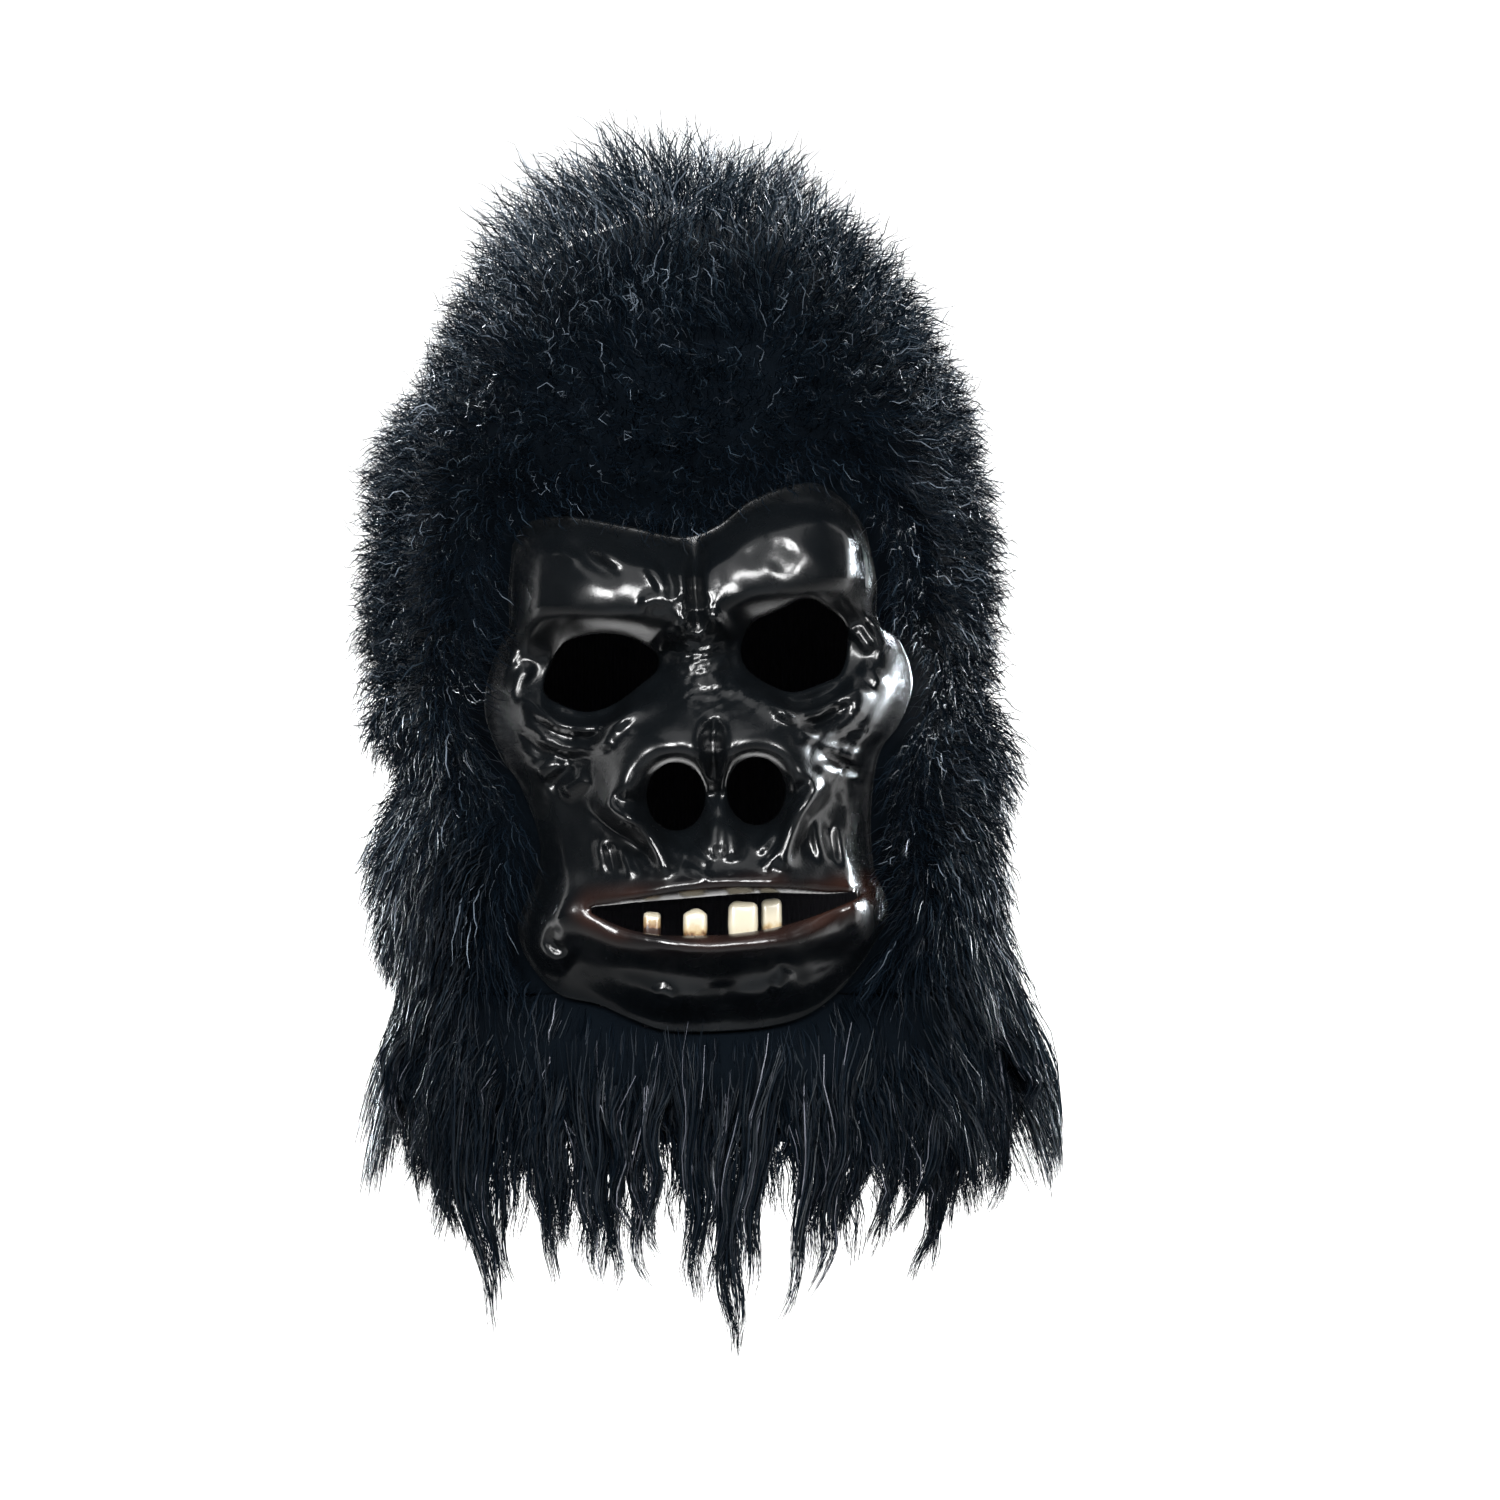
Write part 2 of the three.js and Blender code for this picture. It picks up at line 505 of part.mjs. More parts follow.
// Vinyl face: outer and inner grids joined round the rim
function faceWall() {
  const [outer, inner] = [[], []];
  for (let r = 0; r <= FACE_ROWS; r += 1) {
    for (let c = 0; c <= FACE_COLUMNS; c += 1) {
      const [s, t] = [c / FACE_COLUMNS, r / FACE_ROWS];
      const [x, z] = facePlace(s, t);
      const shown = smooth(0, RIM_RAMP.across, Math.min(s, 1 - s)) * smooth(0, RIM_RAMP.up, Math.min(t, 1 - t));
      const y = vinylY(x, z, shown);
      const back = y + FACE.wall * slant((u, v) => vinylY(u, v, shown), x, z);
      outer.push(new THREE.Vector3(x, y, z));
      inner.push(new THREE.Vector3(x, shown < 1 ? Math.min(back, layeredY(x, z, FACE.lift)) : back, z));
    }
  }
  const width = FACE_COLUMNS + 1;
  const sheet = outer.length;
  const index = [];
  const quad = (a, b, c, d) => index.push(a, b, c, a, c, d);
  for (let r = 0; r < FACE_ROWS; r += 1) {
    for (let c = 0; c < FACE_COLUMNS; c += 1) {
      const a = r * width + c;
      quad(a, a + 1, a + 1 + width, a + width);
      quad(sheet + a, sheet + a + width, sheet + a + 1 + width, sheet + a + 1);
    }
  }
  for (let c = 0; c < FACE_COLUMNS; c += 1) {
    const top = FACE_ROWS * width + c;
    quad(c + 1, c, sheet + c, sheet + c + 1);
    quad(top, top + 1, sheet + top + 1, sheet + top);
  }
  for (let r = 0; r < FACE_ROWS; r += 1) {
    const a = r * width;
    const b = a + FACE_COLUMNS;
    quad(a, a + width, sheet + a + width, sheet + a);
    quad(b + width, b, sheet + b, sheet + b + width);
  }
  const geometry = new THREE.BufferGeometry().setFromPoints([...outer, ...inner]);
  geometry.setIndex(index);
  return toSolid(geometry);
}

// Shelf moulded behind the lower lip, level under each tooth
function gumLedge() {
  const stations = TEETH.flatMap((row, i) => {
    const [x0, z] = facePoint([row.left, row.gum]);
    const [x1] = facePoint([row.right, row.gum]);
    const first = i === 0 ? LEDGE.endRun : LEDGE.toothRun;
    const last = i === TEETH.length - 1 ? LEDGE.endRun : LEDGE.toothRun;
    return [[x0 - first, z - TOOTH.root], [x1 + last, z - TOOTH.root]];
  });
  const rings = stations.map(([x, top]) => {
    const low = top - LEDGE.thickness;
    const front = Math.max(vinylY(x, top), vinylY(x, low)) + LEDGE.sink;
    const back = front + LEDGE.depth;
    return [[front, low], [back, low], [back, top], [front, top]].map(([y, z]) => new THREE.Vector3(x, y, z));
  });
  const middle = (ring) => ring[0].clone().lerp(ring[2], 0.5);
  return ringStack(rings, middle(rings[0]), middle(rings.at(-1)));
}

function faceShell() {
  const reach = -2 * HOOD.frontReach;
  const cut = (shares, steps) => frontPrism(flatPoints(faceCurve(shares, true), steps), reach, 0);
  const eyes = [EYE_LEFT, EYE_RIGHT].map((shares) => cut(shares, EYE_STEPS));
  const nostrils = NOSTRILS.map((share) => {
    const [x, z] = facePoint(share);
    const drill = new THREE.CylinderGeometry(NOSTRIL.width / 2, NOSTRIL.width / 2, -reach, NOSTRIL_SIDES);
    drill.scale(1, 1, NOSTRIL.height / NOSTRIL.width);
    drill.translate(x, reach / 2, z);
    return toSolid(drill);
  });
  const holes = [...eyes, ...nostrils, cut(MOUTH, MOUTH_STEPS)];
  return holes.reduce((wall, hole) => wall.subtract(hole), faceWall()).add(gumLedge());
}

// A tooth: a rounded block that narrows a little to its tip
function tooth({ left, right, gum, tip }) {
  const [x0, z0] = facePoint([left, gum]);
  const [x1, z1] = facePoint([right, tip]);
  const [halfWidth, middle] = [(x1 - x0) / 2, (x0 + x1) / 2];
  const foot = z0 - TOOTH.root + TOOTH.seat;
  const backAt = (x, z) => vinylY(x, z) + FACE.wall * slant(vinylY, x, z);
  const lipBack = Math.max(...[x0, middle, x1].flatMap((x) => [backAt(x, z0), backAt(x, foot)]));
  const y = lipBack + TOOTH.behindLip + TOOTH.depth / 2;
  const ring = (z, wide, deep) =>
    Array.from({ length: TOOTH_SIDES }, (_, i) => {
      const angle = (i / TOOTH_SIDES) * 2 * Math.PI;
      const soften = (v) => Math.sign(v) * Math.abs(v) ** TOOTH.squareness;
      const across = halfWidth * wide * soften(Math.cos(angle));
      return new THREE.Vector3(middle + across, y + (TOOTH.depth / 2) * deep * soften(Math.sin(angle)), z);
    });
  const rings = TOOTH_SECTIONS.map(({ up, wide, deep }) => ring(mix(foot, z1, up), wide, deep));
  return ringStack(rings, new THREE.Vector3(middle, y, z1), new THREE.Vector3(middle, y, foot));
}

// Fur: tufts like shingles, each standing furthest out at its lower end, at a height of its own in each column
function pileLift(along, angle) {
  const side = (1 + Math.cos(angle)) / 2;
  const puff = mix(ringValue("puffLeft", along), ringValue("puffRight", along), side) * FUR.pile;
  const place = (angle / (2 * Math.PI)) * TUFTS_AROUND + 0.5;
  const column = Math.floor(place) % TUFTS_AROUND;
  const down = along * TUFT_ROWS + scatter(column, 1);
  const row = Math.floor(down);
  const ridge = 0.5 + 0.5 * Math.cos((place - Math.floor(place) - 0.5) * 2 * Math.PI);
  const length = mix(TUFT.shortest, 1, scatter(row, column));
  const stand = (down - row) * mix(TUFT.valley, 1, ridge) * length - TUFT.settle;
  const step = TUFT.step * smooth(0.03, 0.3, along) * stand;
  const hem = 1 - FUR.hemTrim * smooth(0.9, 1, along);
  const point = hoodPoint(along, angle);
  const grown = point.y < 0 ? smooth(0, FUR.rimRun, distanceToLine(point.x, point.z, rimLine)) : 1;
  return mix(FUR.rimPile, puff * hem + step, grown);
}

const furRows = () =>
  Array.from({ length: TUFT_ROWS }, (_, row) => TUFT_RINGS.map((ring) => (row + ring) / TUFT_ROWS)).flat();

// One hanging lock: a flat tapered strand that leaves the pile and bends to its tip
function lock(root, tip, sway) {
  const middle = root.clone().lerp(tip, LOCK.bend);
  middle.x += sway;
  const path = new THREE.QuadraticBezierCurve3(root, middle, tip);
  const side = new THREE.Vector3(-tip.y, tip.x, 0).normalize();
  const rings = LOCK_RINGS.map((t) => {
    const centre = path.getPoint(t);
    const along = path.getTangent(t);
    const out = along.clone().cross(side).normalize();
    const taper = t === 0 ? LOCK.rootShare : 1 - LOCK.taper * t * t * t;
    return Array.from({ length: LOCK_SIDES }, (_, i) => {
      const angle = (i / LOCK_SIDES) * 2 * Math.PI;
      return centre
        .clone()
        .addScaledVector(side, (Math.cos(angle) * LOCK.width * taper) / 2)
        .addScaledVector(out, (Math.sin(angle) * LOCK.thickness * taper) / 2);
    });
  });
  return ringStack(rings, root, tip);
}

function beardLocks(table, { along, depth }) {
  const nearest = -BEARD.front - LOCK.width / 2;
  return table.map(({ across, drop, sway }) => {
    const root = hoodAt(along, 1.5 * Math.PI + across * BEARD.spread, FUR.pile * depth);
    root.y = Math.min(root.y, nearest);
    root.z += LOCK.rootRise;
    const tip = new THREE.Vector3(across * HOOD.halfWidth, root.y, -drop * HOOD.height);
    return lock(root, tip, sway * LOCK.width);
  });
}

function sideLocks(side, { along, depth }) {
  const { count, first, last, length, shortest, longest, sway, tipDepth } = SIDE_LOCKS;
  return Array.from({ length: count }, (_, i) => {
    const turn = mix(first, last, i / (count - 1));
    const angle = side > 0 ? turn : Math.PI - turn;
    const root = hoodAt(along, angle, FUR.pile * depth);
    const tip = hoodAt(1, angle, FUR.pile * mix(tipDepth, 1, scatter(i, side)));
    tip.z -= length * mix(shortest, longest, scatter(i + 3, side));
    return lock(root, tip, LOCK.width * mix(-sway, sway, scatter(i, 7)));
  });
}

// Cuts that part the hood into its left, right and beard panels
const far = 3 * HOOD.height;
const half = HOOD.seamGap / 2;
const beardTop = -FACE.eyeDrop - BEARD.seam * FACE.height;
const beardBlock = (grow) => box([-far, -far, -far], [far, -BEARD.front + grow, beardTop + grow]);
const leftBlock = box([-far, -far, -far], [-half, far, far]);
const rightBlock = box([half, -far, -far], [far, far, far]);

function panels(whole) {
  const upper = whole.subtract(beardBlock(half));
  return {
    left: upper.intersect(leftBlock),
    right: upper.intersect(rightBlock),
    beard: whole.intersect(beardBlock(-half)),
  };
}

const opening = (distance) => frontPrism(offsetOutline(rimOutline(), distance), -far, 0);
const evenLayer = (distance) => ({ rows: CLOTH_ROWS, lift: () => distance });
const clothCover = cover(evenLayer(0), evenLayer(-HOOD.wall));
const furCover = cover({ rows: furRows(), lift: pileLift }, evenLayer(FUR.rootGap));
const cloth = panels(clothCover.subtract(opening(-FACE.overlap)));
const pile = panels(furCover.subtract(opening(FUR.rimGap)));
const withLocks = (solid, locks) => locks.reduce((sum, one) => sum.add(one), solid);

// Everything that is moulded, cut or sewn, under its name and in its finish
const FINISH = {
  vinyl: { color: 0x0b0c10, roughness: 0.28, metalness: 0 },
  enamel: { color: 0xe6d3a8, roughness: 0.35, metalness: 0 },
  backing: { color: 0x14151a, roughness: 0.9, metalness: 0 },
  fur: { color: 0x0a0c12, roughness: 0.75, metalness: 0 },
};
const mask = new THREE.Group();

function place(name, solid, finish) {
  const mesh = new THREE.Mesh(toGeometry(solid), new THREE.MeshStandardMaterial(FINISH[finish]));
  mesh.name = name;
  mask.add(mesh);
}

place("face_shell", faceShell(), "vinyl");
TEETH.forEach((row, i) => place(`tooth_${i + 1}`, tooth(row), "enamel"));
place("hood_cloth_left", cloth.left, "backing");
place("hood_cloth_right", cloth.right, "backing");
place("beard_cloth", cloth.beard, "backing");
place("hood_fur_left", withLocks(pile.left, sideLocks(-1, LOCK_ROOTS.side)), "fur");
place("hood_fur_right", withLocks(pile.right, sideLocks(1, LOCK_ROOTS.side)), "fur");
const beard = [...beardLocks(LONG_LOCKS, LOCK_ROOTS.long), ...beardLocks(SHORT_LOCKS, LOCK_ROOTS.short)];
place("beard_fur", withLocks(pile.beard, beard), "fur");

export default mask;
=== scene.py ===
# A pull-on gorilla mask: a glossy moulded vinyl face sewn into a long-pile fur hood with a beard of locks.
# Lengths are in millimetres, +Z up, and the face looks along -Y. The tables of the form are the CAD's, but
# for rounder bulbs on the nose.
import math

import bpy
import numpy as np
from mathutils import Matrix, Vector, kdtree


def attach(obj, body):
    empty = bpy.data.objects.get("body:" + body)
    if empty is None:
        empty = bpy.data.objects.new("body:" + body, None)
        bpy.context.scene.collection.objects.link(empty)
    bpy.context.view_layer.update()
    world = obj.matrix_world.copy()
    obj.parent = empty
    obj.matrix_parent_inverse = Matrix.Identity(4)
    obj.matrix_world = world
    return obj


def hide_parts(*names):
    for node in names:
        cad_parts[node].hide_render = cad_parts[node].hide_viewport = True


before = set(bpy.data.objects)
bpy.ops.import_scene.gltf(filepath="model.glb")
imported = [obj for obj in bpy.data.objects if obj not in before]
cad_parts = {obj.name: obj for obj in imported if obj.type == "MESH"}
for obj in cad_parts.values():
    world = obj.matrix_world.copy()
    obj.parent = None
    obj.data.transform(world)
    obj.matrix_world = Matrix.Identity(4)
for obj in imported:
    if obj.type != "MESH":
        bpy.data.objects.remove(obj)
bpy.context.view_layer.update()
MM = 0.001

# Hood form
HEIGHT, HALF_WIDTH, FRONT_REACH, BACK_REACH = 264, 86, 98, 105
WALL, SEAM_LAP = 2, 0.3
BIB_DROP, BIB_START, BIB_SIDE, BIB_FULL = 14, 0.85, 0.1, 0.8
SQUARENESS = 2.3
FACE_WIDTH, FACE_HEIGHT, EYE_DROP, FACE_OFFSET = 134, 170, 127, 3
FACE_WALL, RELIEF, OVERLAP, LIFT = 1.8, 34, 6, 0.4
STEEPEST = 2.2
RIM_ACROSS, RIM_UP = 0.09, 0.07
BEARD_TOP = -EYE_DROP - 0.618 * FACE_HEIGHT
BEARD_FRONT = 26
PILE, RIM_PILE, RIM_RUN, RIM_GAP, ROOT_GAP = 24, 9, 26, 1.3, 0.5

# From the crown to the hem: drop, left, right, front, back, puff on the left, puff on the right
RINGS = np.array([
    (0.0, 0.0, 0.0, 0.0, 0.0, 1.55, 1.5),
    (0.012, 0.21, 0.21, 0.2, 0.24, 1.5, 1.45),
    (0.046, 0.465, 0.43, 0.46, 0.495, 1.35, 1.12),
    (0.106, 0.675, 0.63, 0.67, 0.705, 1.0, 0.95),
    (0.189, 0.84, 0.78, 0.84, 0.86, 0.85, 0.95),
    (0.284, 0.94, 0.87, 0.93, 0.94, 1.05, 0.86),
    (0.398, 0.99, 0.92, 0.97, 0.99, 0.86, 0.86),
    (0.492, 1.0, 0.93, 0.98, 1.0, 0.84, 0.84),
    (0.545, 0.98, 0.935, 0.99, 0.98, 0.94, 0.92),
    (0.606, 0.95, 0.94, 1.0, 0.95, 0.62, 0.96),
    (0.72, 0.94, 0.93, 1.0, 0.88, 1.0, 0.84),
    (0.833, 0.93, 0.95, 1.0, 0.8, 0.62, 1.02),
    (0.928, 0.95, 1.0, 0.99, 0.78, 0.76, 1.05),
    (1.0, 0.99, 1.07, 0.99, 0.81, 0.72, 1.0),
])
DROP, LEFT, RIGHT, FRONT, BACK, PUFF_LEFT, PUFF_RIGHT = range(7)

# Rim of the vinyl and its openings, as x and z shares of the face from the middle of the eye line
RIM_TOP = [
    (-0.437, 0.201), (-0.406, 0.241), (-0.321, 0.254), (-0.181, 0.237), (-0.03, 0.216), (0.042, 0.237),
    (0.112, 0.279), (0.192, 0.306), (0.271, 0.314), (0.343, 0.279), (0.387, 0.229),
]
RIM_BOTTOM = [
    (-0.41, -0.545), (-0.375, -0.586), (-0.321, -0.622), (-0.234, -0.638), (-0.153, -0.666), (-0.084, -0.684),
    (0.042, -0.686), (0.174, -0.676), (0.254, -0.656), (0.324, -0.615), (0.377, -0.565), (0.407, -0.529),
]
RIM_LEFT = [
    (-0.41, -0.545), (-0.423, -0.496), (-0.379, -0.405), (-0.37, -0.349), (-0.419, -0.237), (-0.463, -0.189),
    (-0.503, -0.1), (-0.481, -0.007), (-0.446, 0.049), (-0.446, 0.111), (-0.437, 0.201),
]
RIM_RIGHT = [
    (0.407, -0.529), (0.44, -0.468), (0.405, -0.385), (0.4, -0.265), (0.421, -0.175), (0.466, -0.126),
    (0.498, -0.05), (0.466, 0.027), (0.416, 0.062), (0.412, 0.137), (0.387, 0.229),
]
EYE_LEFT = [
    (-0.361, -0.069), (-0.349, -0.021), (-0.313, 0.022), (-0.225, 0.038), (-0.153, 0.028), (-0.099, 0.0),
    (-0.096, -0.025), (-0.137, -0.056), (-0.198, -0.091), (-0.259, -0.105), (-0.322, -0.091),
]
EYE_RIGHT = [
    (0.095, 0.007), (0.12, 0.056), (0.183, 0.08), (0.25, 0.101), (0.299, 0.084), (0.338, 0.056),
    (0.343, 0.014), (0.324, -0.035), (0.271, -0.056), (0.217, -0.069), (0.174, -0.06), (0.112, -0.028),
]
MOUTH = [
    (-0.254, -0.461), (-0.178, -0.451), (-0.04, -0.441), (0.143, -0.431), (0.294, -0.434), (0.384, -0.432),
    (0.294, -0.465), (0.203, -0.488), (0.141, -0.498), (0.021, -0.507), (-0.125, -0.502), (-0.19, -0.488),
]
NOSTRILS = [(-0.053, -0.258), (0.131, -0.248)]
NOSTRIL_SIZE = (18, 21)

# Swellings and hollows: x, z, half width, half height above and below as shares, turn, rise, edge
LUMPS = [
    (0.034, -0.43, 0.39, 0.25, 0.2, 0, 0.78, 1.35),  # muzzle
    (-0.22, 0.084, 0.23, 0.16, 0.057, -4, 0.66, 1.2),  # left brow
    (0.235, 0.132, 0.225, 0.17, 0.062, 12, 0.66, 1.2),  # right brow
    (0.0, 0.06, 0.08, 0.12, 0.12, 0, 0.2, 1.2),  # between the brows
    (-0.23, -0.025, 0.19, 0.08, 0.1, 0, -0.22, 1.5),  # left socket
    (0.225, 0.01, 0.18, 0.09, 0.11, 0, -0.22, 1.5),  # right socket
    (-0.375, -0.15, 0.12, 0.08, 0.09, 28, 0.3, 1.3),  # left cheek
    (0.39, -0.12, 0.115, 0.09, 0.1, -25, 0.32, 1.3),  # right cheek
    (-0.445, 0.0, 0.06, 0.13, 0.12, -12, 0.15, 1.3),  # left temple
    (0.445, 0.01, 0.06, 0.11, 0.1, 12, 0.18, 1.3),  # right temple
    (0.015, -0.07, 0.105, 0.11, 0.14, 0, 0.34, 1.3),  # bridge
    (-0.102, -0.19, 0.138, 0.115, 0.12, 14, 0.62, 1.4),  # left nose bulb
    (0.158, -0.178, 0.135, 0.115, 0.12, -14, 0.62, 1.4),  # right nose bulb
    (-0.17, -0.27, 0.05, 0.06, 0.06, 25, 0.2, 1.3),  # left wing
    (0.24, -0.255, 0.05, 0.06, 0.06, -25, 0.2, 1.3),  # right wing
    (-0.053, -0.264, 0.088, 0.07, 0.078, 8, -0.55, 1.8),  # left nostril
    (0.131, -0.252, 0.082, 0.068, 0.075, -8, -0.55, 1.8),  # right nostril
    (-0.36, -0.515, 0.065, 0.055, 0.055, -40, 0.2, 1.3),  # left jowl
    (0.4, -0.48, 0.05, 0.05, 0.05, 40, 0.15, 1.3),  # right jowl
    (-0.08, -0.615, 0.135, 0.08, 0.07, 0, 0.17, 1.3),  # left chin
    (0.195, -0.61, 0.12, 0.08, 0.07, 0, 0.17, 1.3),  # right chin
]

# Broad ridges and creases: half width and rise as shares, points
FOLDS = [
    (0.05, 0.2, [(-0.29, -0.44), (-0.14, -0.422), (0.04, -0.41), (0.22, -0.41), (0.38, -0.418)]),
    (0.05, 0.24, [(-0.34, -0.47), (-0.19, -0.52), (0.03, -0.54), (0.22, -0.525), (0.41, -0.445)]),
    (0.045, -0.12, [(-0.26, -0.56), (0.04, -0.58), (0.32, -0.55)]),
    (0.024, -0.24, [(0.033, -0.14), (0.035, -0.25)]),
    (0.02, -0.2, [(-0.01, 0.2), (-0.005, 0.06)]),
    (0.026, 0.14, [(-0.4, -0.09), (-0.33, -0.13), (-0.22, -0.14), (-0.11, -0.09)]),
    (0.026, 0.14, [(0.1, -0.065), (0.18, -0.1), (0.27, -0.105), (0.36, -0.07)]),
    (0.028, 0.16, [(-0.2, -0.27), (-0.13, -0.31), (-0.08, -0.38)]),
    (0.028, 0.16, [(0.27, -0.25), (0.24, -0.31), (0.195, -0.37)]),
]

# Fine wrinkles: half width and rise in millimetres, points in thousandths of the face
WRINKLES = [
    # Left brow
    (2.6, 1.7, [(-308, 237), (-245, 221), (-215, 191), (-192, 177), (-164, 166)]),
    (2.3, -1.7, [(-326, 215), (-273, 186), (-220, 157), (-171, 131)]),
    (2.0, 1.5, [(-136, 228), (-102, 217), (-65, 202)]),
    (1.8, 0.8, [(-322, 193), (-278, 171)]),
    # Between the brows
    (1.8, 1.4, [(-123, 170), (-93, 137), (-67, 104)]),
    (1.5, -1.2, [(-99, 181), (-72, 140), (-53, 95)]),
    (1.6, 1.3, [(-46, 155), (-35, 117), (-39, 93)]),
    (1.7, 1.4, [(-35, 69), (-44, 42), (-60, 13)]),
    (1.4, 0.9, [(-72, 38), (-95, 13)]),
    (1.7, 1.2, [(-132, 78), (-113, 95), (-88, 98), (-65, 86)]),
    (2.6, -2.2, [(-14, 210), (-7, 146), (-2, 78)]),
    # Right brow
    (2.0, 1.6, [(157, 275), (197, 292), (252, 295), (303, 286), (345, 270), (375, 243)]),
    (2.2, -1.1, [(176, 259), (231, 277), (296, 270), (347, 248)]),
    (1.7, 1.4, [(2, 155), (7, 128), (9, 100)]),
    (1.7, 1.6, [(16, 77), (51, 51), (83, 26)]),
    (2.0, -1.2, [(65, 243), (37, 222), (14, 201)]),
    (3.0, -0.7, [(162, 222), (127, 191), (97, 162)]),
    (3.0, -0.6, [(215, 201), (167, 151)]),
    # Temples
    (2.4, 2.2, [(-419, 13), (-449, -36), (-474, -86)]),
    (2.2, 2.0, [(-389, -9), (-428, -55), (-451, -97)]),
    (1.4, -1.4, [(-402, 4), (-440, -47), (-465, -93)]),
    (2.3, 2.0, [(389, 73), (416, 42), (442, 5)]),
    (1.9, 1.5, [(365, 47), (396, 13)]),
    (1.4, -1.2, [(377, 60), (419, 9)]),
    # Right cheekbone
    (1.9, 1.5, [(377, -20), (426, -57)]),
    (1.9, 1.4, [(375, -47), (326, -86)]),
    (1.9, 1.4, [(396, -58), (356, -111)]),
    # Folds under the left eye
    (2.1, 1.8, [(-356, -60), (-310, -93), (-254, -104), (-178, -78), (-134, -58), (-102, -29)]),
    (2.2, 2.0, [(-393, -64), (-352, -108), (-289, -131), (-220, -126), (-157, -97), (-116, -67)]),
    (2.3, 1.7, [(-414, -100), (-370, -146), (-305, -168), (-236, -162), (-176, -133)]),
    (1.6, -1.7, [(-375, -71), (-333, -102), (-273, -119), (-199, -104), (-139, -75)]),
    (1.6, -1.6, [(-405, -86), (-361, -129), (-298, -151), (-227, -146), (-162, -117)]),
    (1.8, -1.3, [(-416, -126), (-375, -166), (-310, -188), (-250, -186)]),
    # Folds under the right eye
    (2.1, 1.8, [(347, -22), (289, -55), (220, -67), (162, -57), (118, -29)]),
    (2.0, 1.8, [(324, -60), (296, -88), (257, -108), (213, -108), (160, -78), (118, -51)]),
    (2.2, 1.6, [(377, -80), (335, -122), (278, -146), (217, -139)]),
    (1.5, -1.6, [(335, -44), (291, -73), (231, -88), (173, -71), (127, -44)]),
    (1.5, -1.4, [(354, -82), (315, -108), (259, -128), (199, -120)]),
    # Sides of the nose
    (2.0, 1.3, [(-132, -57), (-150, -91), (-197, -133), (-245, -182)]),
    (1.8, -1.3, [(-167, -77), (-222, -128), (-261, -179)]),
    (2.0, 1.3, [(164, -82), (208, -111), (241, -137), (268, -164)]),
    (1.8, -1.2, [(194, -84), (238, -113), (285, -151)]),
    # Cheeks
    (2.7, 1.9, [(-261, -217), (-289, -235), (-319, -250)]),
    (2.3, 1.5, [(-319, -188), (-347, -206), (-375, -221)]),
    (1.6, -1.2, [(-266, -199), (-305, -221), (-352, -246)]),
    (1.8, 1.4, [(250, -181), (310, -212), (370, -243)]),
    (1.8, 1.3, [(264, -201), (319, -237), (347, -277)]),
    (1.8, 1.4, [(257, -168), (324, -177), (386, -202)]),
    (1.5, -1.0, [(259, -175), (319, -195), (375, -222)]),
    # Nostrils
    (2.3, 2.3, [(-236, -243), (-224, -270), (-197, -286), (-134, -310),
        (-102, -336), (-83, -365), (-74, -398)]),
    (2.2, -2.2, [(-254, -261), (-217, -305), (-157, -334), (-125, -356), (-104, -399)]),
    (2.6, -2.6, [(-204, -275), (-153, -270), (-104, -279)]),
    (2.3, 2.3, [(254, -217), (268, -235), (259, -253), (224, -290), (204, -332), (187, -388)]),
    (2.2, -2.0, [(291, -243), (252, -305), (229, -341), (215, -388)]),
    (2.4, -2.2, [(199, -264), (229, -253), (252, -237)]),
    # Between nose and lip
    (2.5, 1.9, [(69, -306), (72, -337), (67, -374)]),
    (1.9, 1.4, [(35, -303), (37, -352)]),
    (1.3, -1.2, [(51, -308), (53, -367)]),
    (2.0, -2.2, [(25, -133), (30, -177), (35, -232)]),
    # Muzzle
    (1.2, 1.2, [(5, -341), (32, -361)]),
    (1.2, 1.2, [(-21, -357), (19, -379)]),
    (1.3, 1.1, [(-65, -343), (-46, -359)]),
    (1.2, 1.0, [(-25, -385), (19, -399)]),
    (1.3, 1.3, [(173, -317), (139, -356)]),
    (1.2, 1.1, [(178, -354), (148, -387)]),
    (1.4, 1.2, [(-234, -339), (-217, -392)]),
    (1.3, 1.1, [(-176, -359), (-153, -398)]),
    (1.2, 1.0, [(-132, -370), (-113, -390)]),
    (1.5, 1.3, [(273, -286), (273, -336), (291, -381)]),
    (1.3, 1.0, [(319, -312), (328, -356), (342, -388)]),
    (1.3, -1.0, [(-208, -341), (-190, -396)]),
    (1.3, -1.0, [(298, -297), (303, -346), (315, -385)]),
    # Edges of the lips
    (1.7, 1.2, [(-245, -456), (-160, -438), (-99, -427), (-39, -418),
        (69, -410), (190, -412), (324, -419)]),
    (1.9, 1.0, [(-185, -501), (-99, -516), (-2, -527), (116, -520), (234, -507), (324, -485)]),
    # Corners of the mouth
    (2.3, 2.1, [(-331, -485), (-359, -501), (-365, -522), (-342, -547), (-294, -567)]),
    (1.8, -1.6, [(-312, -492), (-340, -509), (-340, -527), (-310, -547)]),
    (1.9, 1.3, [(-391, -452), (-393, -485)]),
    (2.1, 1.9, [(421, -456), (440, -474), (430, -492), (407, -509)]),
    (1.6, -1.4, [(402, -463), (416, -478), (402, -494)]),
    # Chin
    (2.3, 1.3, [(-97, -604), (-65, -640)]),
    (2.3, 1.3, [(201, -574), (176, -605)]),
    (3.2, -1.1, [(51, -602), (56, -636)]),
]

